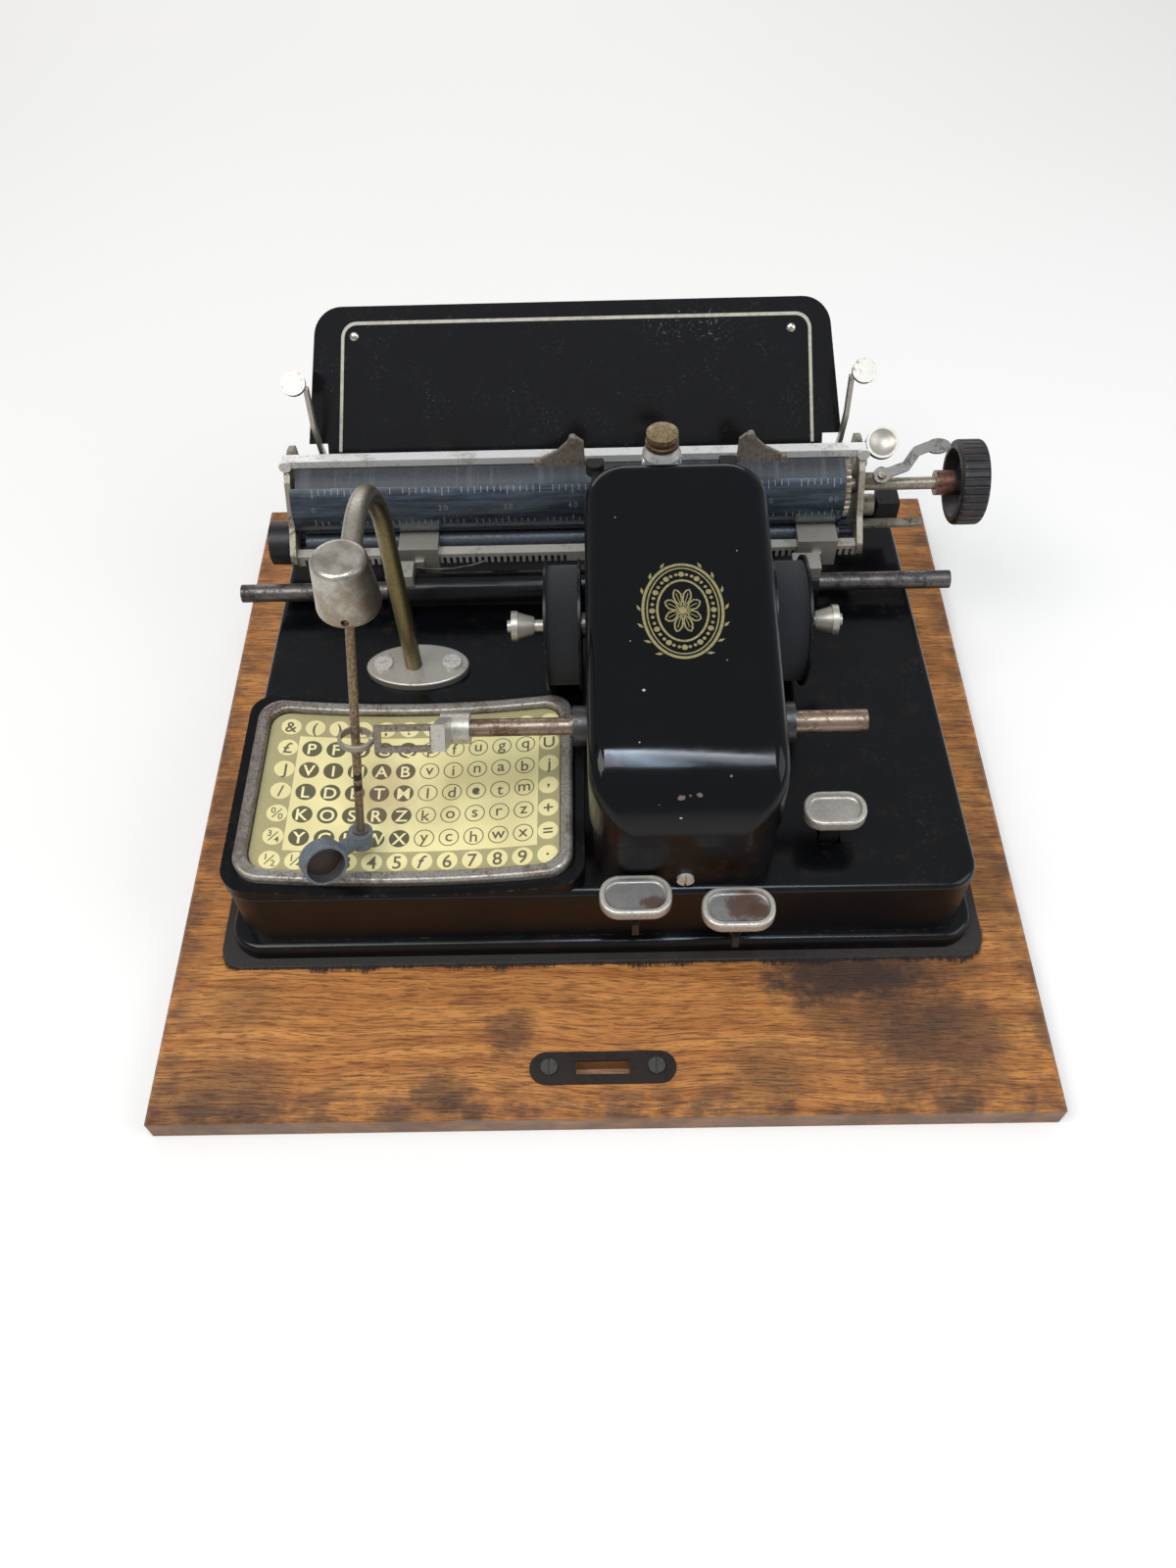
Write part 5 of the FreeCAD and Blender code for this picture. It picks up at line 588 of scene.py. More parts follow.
def make_yoke():
    """The inner shaft: a dull yoke, a bright clamp and a rubbed brown end."""
    m = Shade("yoke_nickel")
    x = m.parts()[0]
    fine = m.noise(1.1, 6, 0.75)
    cloud = m.noise(6, 4, 0.65)
    yoke = m.blend(m.ramp(fine, 0.38, 0.66), "93887a", "5b4d41")
    clamp = m.blend(m.ramp(fine, 0.44, 0.72), "beb8ac", "8d867b")
    end = m.blend(m.ramp(m.times(m.plus(fine, cloud), 0.5), 0.44, 0.58), "b3a595", "6f5b4a")
    m.base = m.blend(m.math("GREATER_THAN", x, -54.0), yoke, clamp)
    m.over(end, m.math("GREATER_THAN", x, -43.0))
    # Painted shade: a dark spot on the shaft's end stands for the shade inside a hole.
    hole = m.near((90.2, -47.5, 95.0), 1.5, 0.7)
    m.over("1f1915", hole)
    pitted = m.times(m.ramp(m.cells(0.6), 0.26, 0.07), m.ramp(cloud, 0.46, 0.60))
    m.over("2a211b", pitted, 0.7)
    return m.finish(fine, (0.28, 0.48), m.minus(m.times(fine, 0.4), pitted), 0.045, metal=0.6)


def make_plain(name, code, rough, metal=0.0, vary="000000", grain=2.0):
    """A small trim finish with a little mottling."""
    m = Shade(name)
    spread = m.noise(grain, 5, 0.65)
    m.base = m.blend(m.ramp(spread, 0.42, 0.72, 0.0, 0.6), code, vary)
    return m.set(rough=rough, metal=metal, normal=m.bump(spread, 0.015))


LETTERS = make_plain("type_faces", "d3d2cd", 0.34, metal=0.4, vary="8f8d88", grain=0.8)
INK = make_plain("card_ink", "55503b", 0.5, vary="6a644b", grain=1.2)
PAPER = make_plain("card_letter", "e6daa4", 0.5, vary="cfc38e", grain=1.2)
GILT = make_plain("gilt", "857b50", 0.5, metal=0.2, vary="524e35", grain=1.2)
CREAM = make_plain("cream_line", "b0aa9b", 0.5, vary="7f7a6f", grain=2.5)
MARKS = make_plain("scale_ink", "777b7e", 0.5, vary="45494c", grain=1.8)
FAINT = make_plain("worn_scale_ink", "5a5e61", 0.5, vary="33363a", grain=1.4)
CHIP = make_plain("chipped_spot", "a9a69c", 0.6, vary="7b766c")
RUST = make_plain("rust_chip", "64524a", 0.6, vary="2b201b")
LINT = make_plain("felt_fibre", "231d1a", 0.95, vary="3d342e", grain=0.8)

# Worn metals: name, clean and stained tone, the tone of pits and of painted shade on faces that look down,
# wear, pits, roughness, seed, metal, the stretch of its brushed lines and its grain; then the nodes that
# have it
METALS = (
    ("nickel", "b3ada2", "857a6d", "2b2420", 0.5, 0.5, (0.28, 0.5), 3.0, 0.65, None, 1.0,
     ["swan_flange", "rail_stops", "spool_stubs", "paper_levers"]),
    ("nickel_clean", "b0aa9e", "857c70", "3a332c", 0.4, 0.25, (0.28, 0.5), 41.0, 0.65, None, 1.0,
     ["left_spool_nut", "right_spool_nut", "margin_stop_left", "margin_stop_right", "release_lever"]),
    ("comb_nickel", "b8b2a6", "857b6e", "2c2620", 0.6, 0.6, (0.4, 0.62), 67.0, 0.4, None, 1.0,
     ["carriage_rack"]),
    ("plate_nickel", "8f8776", "4f4439", "241d18", 0.75, 0.6, (0.36, 0.6), 73.0, 0.5, None, 1.0,
     ["carriage_plates"]),
    ("bail_nickel", "e8e6e1", "bcb7ad", "40382f", 0.6, 0.5, (0.34, 0.55), 79.0, 0.5, None, 1.0,
     ["paper_bail"]),
    ("link_nickel", "8f8474", "594b3f", "2b211b", 0.7, 0.6, (0.34, 0.56), 89.0, 0.55, None, 1.0,
     ["eye_ring"]),
    ("tube_brown", "93806f", "5c473a", "33261f", 0.85, 0.4, (0.24, 0.44), 5.0, 0.8, (0.03, 1, 1), 1.0,
     ["index_tube"]),
    ("lever_steel", "6b6761", "3d3731", "1e1a17", 0.7, 0.5, (0.3, 0.5), 83.0, 0.65, None, 1.0,
     ["line_space_lever"]),
    ("rod_steel", "67625f", "3b3736", "1b1918", 0.8, 0.5, (0.26, 0.48), 13.0, 0.75, (0.03, 1, 1), 1.0,
     ["carriage_rod"]),
    ("dull_steel", "3f3b38", "272320", "151210", 0.8, 0.5, (0.42, 0.66), 19.0, 0.6, None, 1.0,
     ["key_pivot_rod", "drive_shaft", "type_bracket", "lift_collar", "type_spindle", "print_lever",
      "space_lever", "back_lever"]),
    ("collar_steel", "4a4846", "302c2a", "191614", 0.6, 0.5, (0.3, 0.5), 21.0, 0.7, None, 1.0,
     ["shaft_collars"]),
    ("dark_brass", "241b15", "18110d", "0b0806", 0.8, 0.6, (0.36, 0.6), 37.0, 0.55, None, 1.0,
     ["lock_plate"]),
    ("black_iron", "222226", "181616", "0d0c0b", 0.6, 0.5, (0.4, 0.62), 47.0, 0.5, None, 1.0,
     ["mainspring_drum", "carriage_beam"]),
    ("fork_nickel", "a39b8d", "6d6357", "2b241e", 0.6, 0.5, (0.28, 0.5), 33.0, 0.65, None, 1.0,
     ["pointer_gimbal"]),
    ("type_metal", "c2c1bd", "8b8984", "3a3835", 0.5, 0.5, (0.3, 0.5), 59.0, 0.5, None, 0.6,
     ["type_sleeve"]),
)
# Metals in two tones: name, the two pairs, the axis and level where they meet, metal, roughness and seed;
# then the nodes
SPLITS = (
    ("guide_metal", ("1a1a1c", "262321"), ("857b70", "5a4f46"), 1, 62.6, 0.45, (0.4, 0.62), 9.0,
     ["ribbon_guides"]),
    ("platen_shaft_metal", ("a39a88", "6f6558"), ("7a5444", "452a20"), 0, 139.6, 0.6, (0.3, 0.5), 15.0,
     ["platen_shaft"]),
    ("screw_metal", ("4d4c45", "37342f"), ("dddad2", "a8a197"), 1, -120.0, 0.6, (0.3, 0.5), 25.0,
     ["slotted_screws"]),
    ("type_knob_metal", ("6e563c", "3c2c20"), ("8c7a58", "54432e"), 2, 132.5, 0.65, (0.3, 0.5), 43.0,
     ["type_knob"]),
    ("feed_steel", ("171719", "232122"), ("4a5158", "33383d"), 0, -119.0, 0.4, (0.32, 0.52), 61.0,
     ["feed_roller"]),
)
# Black enamels: name, dust, wear, gloss, seed, warmth and specular level; then the nodes
ENAMELS = (
    ("enamel_deck", 0.5, 0.45, 0.16, 0.0, 0.3, 0.28, ["base_casting", "rail_housing"]),
    ("enamel_housing", 0.3, 0.5, 0.24, 17.0, 0.7, 0.2, ["lower_housing"]),
    ("enamel_hood", 0.05, 0.12, 0.09, 31.0, 0.0, 0.22, ["hood"]),
    ("enamel_tray", 0.2, 0.8, 0.2, 57.0, 0.4, 0.22, ["index_tray"]),
    ("enamel_spool", 0.5, 0.8, 0.26, 71.0, 0.5, 0.24, ["left_spool", "right_spool"]),
)
# Key caps: name, middle, half size, floor, stains, the share of the dish's painted dark reflection, pits;
# then the node
CAPS = (
    ("print_cap_metal", (12.4, -95.6), (12.5, 7.7), 56.0, [((19.0, -98.5, 60), 3.8, (0.6, 1.1, 1))],
     0.8, 0.8, ["print_cap"]),
    ("space_cap_metal", (47.2, -101.0), (12.5, 7.7), 56.0,
     [((49.5, -100, 60), 7.5, (0.9, 1.0, 1)), ((54, -102, 60), 4.5, (0.9, 1.0, 1))],
     0.8, 0.8, ["space_cap"]),
    ("back_cap_metal", (82.8, -67.4), (11.0, 7.0), 65.0, [], 0.2, 1.2, ["back_cap"]),
)
DRESS = [
    (make_oak(), ["baseboard"]), (make_felt(), ["felt_pad"]), (make_table(), ["back_plate"]),
    (make_frame(), ["index_frame"]), (make_yoke(), ["index_shaft"]), (make_cover(), ["scale_cover"]),
    (make_rubber(), ["platen"]), (make_ebonite(), ["platen_knob"]), (make_ring(), ["pointer_ring"]),
    (make_cloth(), ["left_ribbon", "right_ribbon"]), (make_card(), ["index_card"]),
    (make_pointer(), ["pointer_rod"]), (make_neck(), ["swan_neck"]), (make_bell(), ["joint_bell"]),
]
for make_one, table in ((make_enamel, ENAMELS), (make_cap, CAPS), (make_metal, METALS),
                        (make_split, SPLITS)):
    DRESS += [(make_one(*look), names) for *look, names in table]
for finish, names in DRESS:
    for name in names:
        slots = NODES[name].data.materials
        slots.clear()
        slots.append(finish)


# Mesh helpers
def piece(name, verts, faces, material, body, smooth=False):
    """A mesh of points in mm, riding on a body."""
    mesh = bpy.data.meshes.new(name)
    mesh.from_pydata([[c * MM for c in v] for v in verts], [], faces)
    mesh.materials.append(material)
    for face in mesh.polygons:
        face.use_smooth = smooth
    mesh.update()
    made = bpy.data.objects.new(name, mesh)
    bpy.context.scene.collection.objects.link(made)
    if smooth:
        mesh.set_sharp_from_angle(angle=SEE_ANGLE)
    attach(made, body)
    return made


def spin(steps):
    """The cosine and sine of each step round a circle."""
    return [(math.cos(2 * math.pi * i / steps), math.sin(2 * math.pi * i / steps)) for i in range(steps)]


class Build:
    """Collects points and faces for one piece."""

    def __init__(self):
        self.verts = []
        self.faces = []

    def add(self, verts, faces):
        start = len(self.verts)
        self.verts += [tuple(v) for v in verts]
        self.faces += [tuple(start + i for i in f) for f in faces]

    def strip(self, points, width, put, closed=False):
        """A flat line of a width along 2-D points, each set in space by put(u, v)."""
        count = len(points)
        sides = []
        for i, (u, v) in enumerate(points):
            before = points[i - 1] if i or closed else points[i]
            after = points[(i + 1) % count] if i < count - 1 or closed else points[i]
            du, dv = after[0] - before[0], after[1] - before[1]
            size = math.hypot(du, dv) or 1.0
            nu, nv = -dv / size * width / 2, du / size * width / 2
            sides += [put(u + nu, v + nv), put(u - nu, v - nv)]
        faces = []
        for i in range(count if closed else count - 1):
            a, b = 2 * i, 2 * ((i + 1) % count)
            faces.append((a, a + 1, b + 1, b))
        self.add(sides, faces)

    def disc(self, u, v, radius, put, steps=20, inner=0.0):
        """A flat disc, or a washer where it has an inner radius."""
        ring = [put(u + radius * c, v + radius * s) for c, s in spin(steps)]
        if not inner:
            self.add(ring, [tuple(range(steps))])
            return
        hole = [put(u + inner * c, v + inner * s) for c, s in spin(steps)]
        self.add(ring + hole, [(i, (i + 1) % steps, steps + (i + 1) % steps, steps + i)
                               for i in range(steps)])

    def skin(self, verts, steps):
        """Closes a row of rings, each of as many points, with walls and two ends."""
        rings = len(verts) // steps
        faces = []
        for low in range(0, (rings - 1) * steps, steps):
            for i in range(steps):
                j = (i + 1) % steps
                faces.append((low + i, low + j, low + steps + j, low + steps + i))
        faces.append(tuple(reversed(range(steps))))
        faces.append(tuple((rings - 1) * steps + i for i in range(steps)))
        self.add(verts, faces)

    def turn(self, profile, origin, axis, steps):
        """Turns a profile of (along, radius) about an axis through origin."""
        line = Vector(axis).normalized()
        side = line.orthogonal().normalized()
        other = line.cross(side)
        base = Vector(origin)
        self.skin([base + line * along + (side * c + other * s) * radius
                   for along, radius in profile for c, s in spin(steps)], steps)

    def wire(self, points, radius, steps=10):
        """A round wire through points in mm."""
        points = [Vector(p) for p in points]
        verts, side = [], None
        for i, p in enumerate(points):
            ahead = (points[min(i + 1, len(points) - 1)] - points[max(i - 1, 0)]).normalized()
            side = ahead.orthogonal() if side is None else side - ahead * side.dot(ahead)
            side.normalize()
            other = ahead.cross(side)
            verts += [p + (side * c + other * s) * radius for c, s in spin(steps)]
        self.skin(verts, steps)

    def make(self, name, material, body, slot=None, smooth=False):
        return piece(name, self.verts, self.faces, material, body, smooth)


GLYPHS = {}
# The middle of the capitals and of the small letters, as shares of a character's height
CAPITAL_MIDDLE, SMALL_MIDDLE = 0.36, 0.25


def glyph(text, bold=0.0, slant=0.0):
    """A character's outline as a flat mesh, 1 unit high and centred."""
    key = (text, bold, slant)
    if key in GLYPHS:
        return GLYPHS[key]
    curve = bpy.data.curves.new("glyph", "FONT")
    curve.body = text
    curve.size = 1.0
    curve.offset = bold
    curve.shear = slant
    curve.resolution_u = 4
    shown = bpy.data.objects.new("glyph", curve)
    bpy.context.scene.collection.objects.link(shown)
    bpy.context.view_layer.update()
    mesh = bpy.data.meshes.new_from_object(shown.evaluated_get(bpy.context.evaluated_depsgraph_get()))
    points = [(v.co.x, v.co.y) for v in mesh.vertices]
    faces = [tuple(f.vertices) for f in mesh.polygons]
    bpy.data.objects.remove(shown)
    bpy.data.curves.remove(curve)
    bpy.data.meshes.remove(mesh)
    middle = (min(p[0] for p in points) + max(p[0] for p in points)) / 2
    points = [(u - middle, v) for u, v in points]
    GLYPHS[key] = (points, faces)
    return GLYPHS[key]


def write(build, text, u, v, size, put, bold=0.0, slant=0.0, drop=CAPITAL_MIDDLE):
    """Sets a character, centred across at u, with its capitals centred at v."""
    points, faces = glyph(text, bold, slant)
    build.add([put(u + a * size, v + (b - drop) * size) for a, b in points], faces)


# The printed card
# The card bends about a line along Y, whose place and distance from the card these are
BEND_X, BEND_Z, BEND_R = -69.2, 402.3, 349.28


def on_card(lift=0.03):
    """Sets X and Y on the bent card, lift mm above it."""
    reach = BEND_R - lift

    def put(u, v):
        return u, v, BEND_Z - math.sqrt(reach * reach - (u - BEND_X) ** 2)
    return put


def print_card():
    """The card's letters, digits and signs, the capitals pale on their discs."""
    dark, pale = Build(), Build()
    put = on_card(0.03)
    caps = ["PFUGQ", "VINAB", "LDETM", "KOSRZ", "YCHWX"]
    left = ["&", "£", "J", "/", "%", "¾", "½"]
    right = [None, "U", "j", ",", "+", "=", "."]
    low = ["¼", "2", "3", "4", "5", "f", "6", "7", "8", "9"]
    top = ["(", ")", ":", ";", "?", "!", "\"", "-", "'", "_"]

    def place(col, row):
        return CARD_X + (col - 5.5) * CARD_DX, CARD_Y + (3 - row) * CARD_DY

    def mark(build, text, col, row, size, bold):
        u, v = place(col, row)
        if text in ("½", "¼", "¾", "%"):
            over, under = {"½": "12", "¼": "14", "¾": "34", "%": "00"}[text]
            write(build, over, u - 1.35, v + 1.25, size * 0.52, put, bold)
            write(build, under, u + 1.35, v - 1.25, size * 0.52, put, bold)
            build.strip([(u - 1.5, v - 2.0), (u + 1.5, v + 2.0)], 0.42, put)
            return
        drop = SMALL_MIDDLE if text in "agmnopqrsuvwxyzce" else CAPITAL_MIDDLE
        if text in ".,":
            drop = 0.05
        write(build, text, u, v, size, put, bold, drop=drop)

    for r, text in enumerate(left):
        mark(dark, text, 0, r, 6.9, 0.012)
    for r, text in enumerate(right):
        if text:
            mark(dark, text, 11, r, 6.9, 0.012)
    for c, text in enumerate(top):
        mark(dark, text, c + 1, 0, 6.9, 0.012)
    for c, text in enumerate(low):
        u, v = place(c + 1, 6)
        if text == "f":
            write(dark, text, u, v, 7.4, put, 0.012, 0.3)
        else:
            mark(dark, text, c + 1, 6, 7.4, 0.010)
    for r, line in enumerate(caps):
        for c, text in enumerate(line):
            mark(pale, text, c + 1, r + 1, 6.9, 0.014)
            mark(dark, text.lower(), c + 6, r + 1, 6.7, 0.008)
    u, v = place(8, 3)
    dark.disc(u, v, 1.15, on_card(0.05))
    dark.make("card_dark_print", INK, FRAME, "card")
    pale.make("card_pale_print", PAPER, FRAME, "card")


print_card()


# Hood badge, a generic rosette
HOOD_SLOPE = math.atan2(25.8, 134.6)
HOOD_NEAR, HOOD_TALL = -88.0, 105.0
BADGE_X, BADGE_Y = 30.2, -18.5
NOSE_Y, NOSE_Z, NOSE_R = -62.0, 83.511, 26.0


def on_hood(u, v, lift=0.04):
    """Sets a place measured from the badge's middle on the hood's sloping top."""
    y = BADGE_Y + v * math.cos(HOOD_SLOPE)
    return BADGE_X + u, y, HOOD_TALL + (y - HOOD_NEAR) * math.tan(HOOD_SLOPE) + lift


def badge():
    """Two ovals with beads between them, an eight-petalled rosette and a spray of leaves."""
    b = Build()

    def oval(width, tall, line):
        b.strip([(width * c, tall * s) for c, s in spin(64)], line, on_hood, closed=True)

    oval(13.6, 18.6, 1.0)
    oval(12.2, 17.1, 0.5)
    oval(8.7, 12.1, 0.8)
    # beads between the ovals
    for i, (c, s) in enumerate(spin(36)):
        b.disc(10.5 * c, 14.6 * s, 0.62 if i % 3 else 1.05, on_hood, 10)
    # eight-petalled rosette
    wide, tall = 6.6, 9.2
    petal = [(0.22, 0.0), (0.45, 0.16), (0.7, 0.2), (0.88, 0.12), (0.98, 0.0), (0.88, -0.12), (0.7, -0.2),
             (0.45, -0.16)]
    for i in range(8):
        a = 2 * math.pi * i / 8 + math.pi / 8
        ca, sa = math.cos(a), math.sin(a)
        b.strip([((t * ca - w * sa) * wide, (t * sa + w * ca) * tall) for t, w in petal], 0.6, on_hood,
                closed=True)
        b.strip([(t * ca * wide, t * sa * tall) for t in (0.3, 0.8)], 0.3, on_hood)
    b.disc(0, 0, 1.5, on_hood, 24)
    b.disc(0, 0, 2.1, on_hood, 24, inner=1.8)
    # leaf sprays outside, left and right
    for side in (-1, 1):
        for i in range(7):
            a = math.radians(-60 + 20 * i)
            cu, cv = side * 14.4 * math.cos(a), 19.6 * math.sin(a)
            lean = math.radians(-60 + 20 * i + 62)
            du, dv = side * math.cos(lean), math.sin(lean)
            pu, pv = -side * dv, side * du
            leaf = [(cu + du * along + pu * across, cv + dv * along + pv * across)
                    for along, across in ((0, 0), (1.3, 0.55), (2.9, 0), (1.3, -0.55))]
            b.add([on_hood(*p) for p in leaf], [(0, 1, 2, 3)])
    b.make("hood_badge", GILT, FRAME, "brass")


badge()


def hood_chips():
    """Pale flecks on the hood's top and small brown chips on its round nose."""
    def fleck(b, put, u, v, size):
        """A ragged spot of nine corners."""
        ring = []
        for c, s in spin(9):
            r = size * random.uniform(0.55, 1.0)
            ring.append(put(u + r * c, v + 0.8 * r * s))
        b.add(ring, [tuple(range(9))])

    def on_nose(u, v):
        """Sets X, and v mm round from the nose's top, on the hood's round nose."""
        a, reach = v / NOSE_R, NOSE_R + 0.05
        return u, NOSE_Y - reach * math.sin(a), NOSE_Z + reach * math.cos(a)

    b = Build()
    for x, y, size in ((16.0, -48.6, 0.85), (44.0, -38.0, 0.3), (12.0, -30.0, 0.3), (50.0, 5.0, 0.35),
                       (8.0, 20.0, 0.3)):
        fleck(b, on_hood, x - BADGE_X, (y - BADGE_Y) / math.cos(HOOD_SLOPE), size)
    for x, angle, size in ((27.0, 69, 0.6), (14.0, 12, 0.4)):
        fleck(b, on_nose, x, NOSE_R * math.radians(angle), size)
    b.make("hood_flecks", CHIP, FRAME)
    b = Build()
    for x, angle, size in ((27.2, 52.7, 1.5), (32.9, 50.8, 1.3), (30.0, 51.4, 0.7), (43.1, 37.8, 0.6),
                           (20.0, 58.0, 0.4)):
        fleck(b, on_nose, x, NOSE_R * math.radians(angle), size)
    b.make("hood_chips", RUST, FRAME)


hood_chips()


# Paper table trim
LEAN = math.radians(55)
TABLE_Y, TABLE_Z = 95.5, 94.6


def on_table(u, v, lift=1.55):
    """Sets X, and v mm up the leaning paper table, lift mm before its rear face."""
    return (u, TABLE_Y + v * math.cos(LEAN) - lift * math.sin(LEAN),
            TABLE_Z + v * math.sin(LEAN) + lift * math.cos(LEAN))


def table_trim():
    """The pale line round the paper table and its two rivets."""
    left_low, left_top, top, corner = (-102.9, 1.2), (-98.2, 44.5), 50.2, 6.0
    right_low, right_top = (89.9, 1.2), (87.2, 44.5)
    line = [left_low, left_top]
    for i in range(1, 8):
        a = math.radians(180 - 90 * i / 8)
        line.append((left_top[0] + corner + corner * math.cos(a), top - corner + corner * math.sin(a)))
    line.append((left_top[0] + corner, top))
    line.append((right_top[0] - corner, top))
    for i in range(1, 8):
        a = math.radians(90 - 90 * i / 8)
        line.append((right_top[0] - corner + corner * math.cos(a), top - corner + corner * math.sin(a)))
    line += [right_top, right_low]
    b = Build()
    b.strip(line, 1.25, on_table)
    b.make("table_line", CREAM, "carriage")
    b = Build()
    toward = (0, -math.sin(LEAN), math.cos(LEAN))
    for u, v in ((-93.6, 45.3), (79.8, 44.9)):
        b.turn([(0, 1.9), (0.35, 1.75), (0.7, 1.2), (0.9, 0.3)], on_table(u, v, 1.45), toward, 20)
    b.make("table_rivets", bpy.data.materials["nickel"], "carriage", "nickel", True)


table_trim()


# Scale on the platen cover
COVER_Y, COVER_Z, COVER_R = 81.5, 85.0, 15.3
SCALE_LEFT, SCALE_PITCH, SCALE_MARKS = -112.0, 2.6, 82


def on_cover(lift=0.05):
    """Sets X and an angle round the platen's scale cover, lift mm off it."""
    reach = COVER_R + lift

    def put(u, angle):
        a = math.radians(angle)
        return u, COVER_Y + reach * math.cos(a), COVER_Z + reach * math.sin(a)
    return put


def scale():
    """Worn ticks in two rows at the character pitch, and faint numbers between them."""
    b = Build()
    put = on_cover()
    for i in range(SCALE_MARKS):
        x = SCALE_LEFT + SCALE_PITCH * i
        tall = 12.5 if i % 10 == 0 else (10.5 if i % 5 == 0 else 8.5)
        for start, grow in ((129.5, 1), (189.0, -1)):
            if random.random() < 0.06:
                continue
            b.strip([(x, start + grow * tall * k / 4) for k in range(5)], 0.34, put)
    b.make("scale_marks", MARKS, "carriage")
    b = Build()
    size, apart, middle = 3.2, 2.3, 160.0
    for i in range(0, SCALE_MARKS, 10):
        label = str(i)
        for k, digit in enumerate(label):
            x = SCALE_LEFT + SCALE_PITCH * i + (k - (len(label) - 1) / 2) * apart
            points, faces = glyph(digit, 0.01)
            b.add([put(x + a * size, middle - math.degrees((c - CAPITAL_MIDDLE) * size / COVER_R))
                   for a, c in points], [tuple(reversed(f)) for f in faces])
    b.make("scale_numbers", FAINT, "carriage")


scale()


# Raised type on the sleeve
def type_letters():
    """Raised letters in seven rows round the sleeve."""
    b = Build()
    rows = ["PFUGQPFUGQJ&", "VINABVINABJK", "LDETMLDETMS/", "KOSRZKOSRZT+", "YCHWXYCHWXE=", "23456789OUNA",
            "&KLMRSTVWXYZ"]
    middle_x, middle_y, reach, high, pitch, size = 26.0, 55.0, 7.2, 122.8, 4.1, 3.7
    for r, line in enumerate(rows):
        for c, text in enumerate(line):
            around = 2 * math.pi * (c + 0.5) / len(line)

            def put(u, v, away=0.3):
                a = around + u / reach
                return (middle_x + (reach + away) * math.sin(a), middle_y - (reach + away) * math.cos(a),
                        high - pitch * r + v)
            points, faces = glyph(text, 0.02)
            foot = size * 1.06
            top = [put(a * size, (z - CAPITAL_MIDDLE) * size) for a, z in points]
            low = [put(a * foot, (z - CAPITAL_MIDDLE) * foot, -0.1) for a, z in points]
            count = len(points)
            used = {}
            for f in faces:
                for i, j in zip(f, f[1:] + f[:1]):
                    used[(i, j)] = used.get((i, j), 0) + 1
            rim = [(i, j) for (i, j) in used if (j, i) not in used]
            b.add(top + low, [tuple(f) for f in faces] + [(j, i, count + i, count + j) for i, j in rim])
    b.make("type_letters", LETTERS, "sleeve", "nickel")


type_letters()


# Small trim
def small_trim():
    """The thin wire before the comb and the felt's stray fibres."""
    b = Build()
    b.wire([(-73, 57.2, 67.2), (-66, 56.6, 66.6), (-58, 57.2, 66.2), (-50, 58.6, 66.6), (-45, 59.9, 67.4)],
           0.45)
    b.make("tension_wire", bpy.data.materials["rod_steel"], "carriage", "steel", True)
    b = Build()
    side, front, back, corner, root = 142.4, 97.0, 110.0, 8.0, 0.2
    path = []
    for cx, cy, first in ((side - corner, -front + corner, -90), (side - corner, back - corner, 0),
                          (-side + corner, back - corner, 90), (-side + corner, -front + corner, 180)):
        for k in range(7):
            a = math.radians(first + 15 * k)
            path.append((cx + corner * math.cos(a), cy + corner * math.sin(a)))
    for (x0, y0), (x1, y1) in zip(path, path[1:] + path[:1]):
        size = math.hypot(x1 - x0, y1 - y0)
        dx, dy = (x1 - x0) / size, (y1 - y0) / size
        for k in range(int(size / 0.16) + 1):
            t = random.uniform(0, size)
            bx, by = x0 + dx * t, y0 + dy * t
            swell = 0.7 + 0.5 * math.sin(bx * 0.11 + by * 0.07) + 0.35 * math.sin(bx * 0.37 - by * 0.29)
            away, lean = random.uniform(0.3, 2.4) * max(swell, 0.25), random.uniform(-1.2, 1.2)
            w, top = random.uniform(0.12, 0.3), random.uniform(12.7, 14.8)
            tip = (bx + dy * away + dx * lean, by - dx * away + dy * lean, random.uniform(12.06, 12.9))
            rx, ry = bx - dy * root, by + dx * root
            b.add([(rx - dx * w, ry - dy * w, top), (rx + dx * w, ry + dy * w, top), tip], [(0, 1, 2)])
    b.make("felt_fibres", LINT, FRAME, "felt")


small_trim()


# Small rounds on the edges of the CAD nodes
for name, node in NODES.items():
    if name == "hood":
        continue
    soften = node.modifiers.new("soft_edges", "BEVEL")
    soften.width = 0.12 * MM
    soften.segments = 2
    soften.limit_method = "ANGLE"
    soften.angle_limit = math.radians(40)
    soften.use_clamp_overlap = True
    soften.harden_normals = False


# Stage, lights and camera
def stage():
    """A plain pale floor and an even room light."""
    half = 6.0
    mesh = bpy.data.meshes.new("floor")
    mesh.from_pydata([(-half, -half, 0), (half, -half, 0), (half, half, 0), (-half, half, 0)], [],
                     [(0, 1, 2, 3)])
    floor = bpy.data.objects.new("floor", mesh)
    bpy.context.scene.collection.objects.link(floor)
    m = Shade("floor")
    spread = m.noise(400, 3)
    m.base = m.blend(spread, "e2dfda", "e6e3de")
    m.set(rough=0.85, specular=0.2)
    mesh.materials.append(m.material)
    floor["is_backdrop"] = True

    world = bpy.data.worlds.new("room")
    bpy.context.scene.world = world
    world.use_nodes = True
    tree = world.node_tree
    back = tree.nodes["Background"]
    back.inputs["Color"].default_value = (0.95, 0.97, 1.0, 1.0)
    back.inputs["Strength"].default_value = 0.46


def lamp(name, where, aim, size, power, color=(1, 1, 1)):
    """A soft oblong lamp; its place, aim and size are in metres."""
    light = bpy.data.lights.new(name, "AREA")
    light.shape = "RECTANGLE"
    light.size, light.size_y = size
    light.energy = power
    light.color = color
    made = bpy.data.objects.new(name, light)
    bpy.context.scene.collection.objects.link(made)
    made.location = where
    made.rotation_euler = (Vector(aim) - Vector(where)).to_track_quat("-Z", "Y").to_euler()


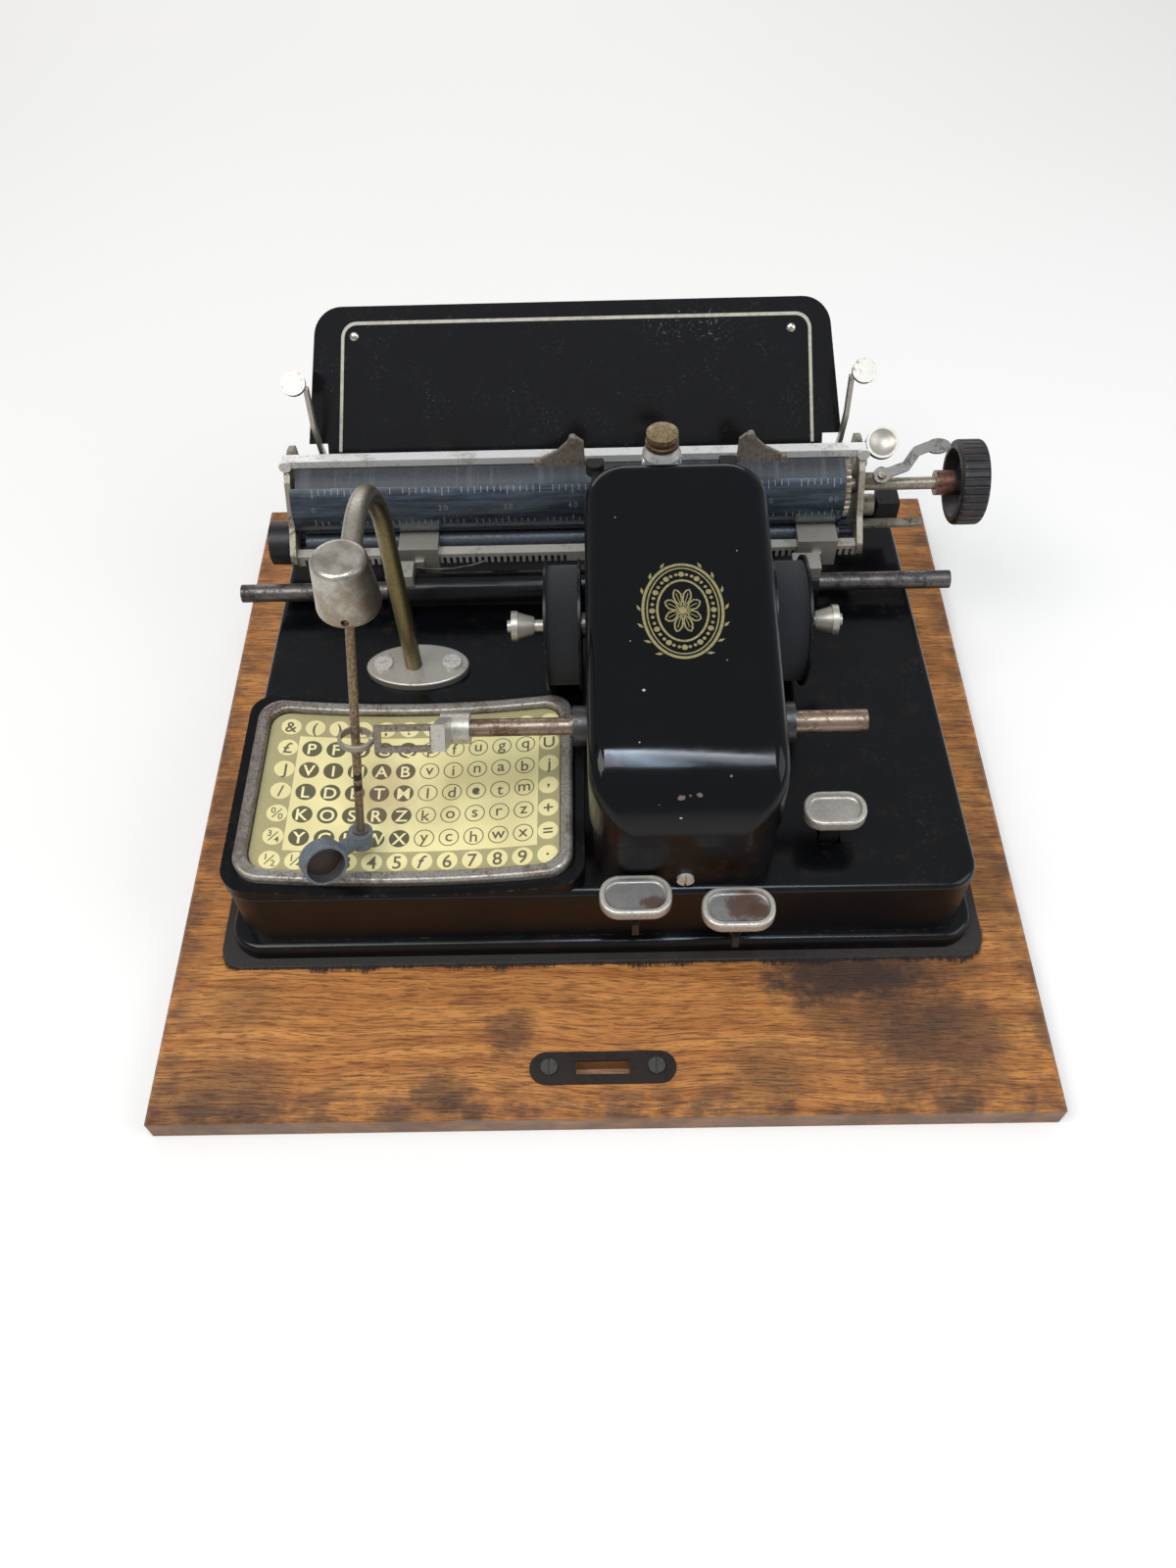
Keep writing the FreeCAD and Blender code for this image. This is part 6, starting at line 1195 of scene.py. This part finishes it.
# The camera's place in metres, its pitch, yaw and roll in degrees, and its focal length
CAMERA_AT, CAMERA_TURN = (0.001903, -0.306165, 0.420875), (54.475, -1.206, -2.063)
SENSOR, FOCAL_PIXELS, PICTURE_PIXELS = 36.0, 1240.88, 1600


def camera():
    """The photograph's viewpoint, solved from the machine's own straight lines."""
    data = bpy.data.cameras.new("view")
    data.sensor_width = SENSOR
    data.lens = SENSOR * FOCAL_PIXELS / PICTURE_PIXELS
    data.dof.use_dof = False
    data.clip_start, data.clip_end = 0.01, 50.0
    pitch, yaw, roll = (math.radians(a) for a in CAMERA_TURN)
    ahead = Vector((math.sin(yaw) * math.cos(pitch), math.cos(yaw) * math.cos(pitch), -math.sin(pitch)))
    right = Vector((math.cos(yaw), -math.sin(yaw), 0))
    up = right.cross(ahead)
    side = right * math.cos(roll) + up * math.sin(roll)
    top = up * math.cos(roll) - right * math.sin(roll)
    turn = Matrix((side, top, -ahead)).transposed()
    made = bpy.data.objects.new("view", data)
    bpy.context.scene.collection.objects.link(made)
    made.matrix_world = Matrix.Translation(Vector(CAMERA_AT)) @ turn.to_4x4()
    bpy.context.scene.camera = made


stage()
lamp("key", (-0.60, -0.40, 1.30), (0, 0, 0.05), (0.8, 0.7), 10.5, (1.0, 0.98, 0.95))
lamp("fill", (0.95, -0.35, 0.75), (0, 0, 0.05), (0.8, 0.8), 4.5, (0.94, 0.97, 1.0))
lamp("rear", (-0.15, 1.25, 0.55), (0, 0, 0.08), (1.4, 0.5), 4.0)
lamp("window", (0.210, -0.33, 1.35), (0.05, -0.07, 0.1), (0.05, 0.80), 3.2, (0.86, 0.92, 1.0))
lamp("window_middle", (0.145, -0.33, 1.35), (0.04, -0.07, 0.1), (0.08, 0.60), 1.8, (0.80, 0.88, 1.0))
lamp("window_left", (0.055, -0.33, 1.35), (0.02, -0.07, 0.1), (0.028, 0.60), 2.6, (0.58, 0.82, 1.0))
lamp("window_edge", (0.014, -0.33, 1.35), (0.01, -0.07, 0.1), (0.018, 0.50), 0.9, (0.86, 0.80, 1.0))
camera()
bpy.context.scene.view_settings.view_transform = "Standard"

shown = [list(corner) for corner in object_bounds()]
({"cad": [[float(c) for c in corner] for corner in CAD_BOX],
           "visual": [[float(c) for c in corner] for corner in shown]})
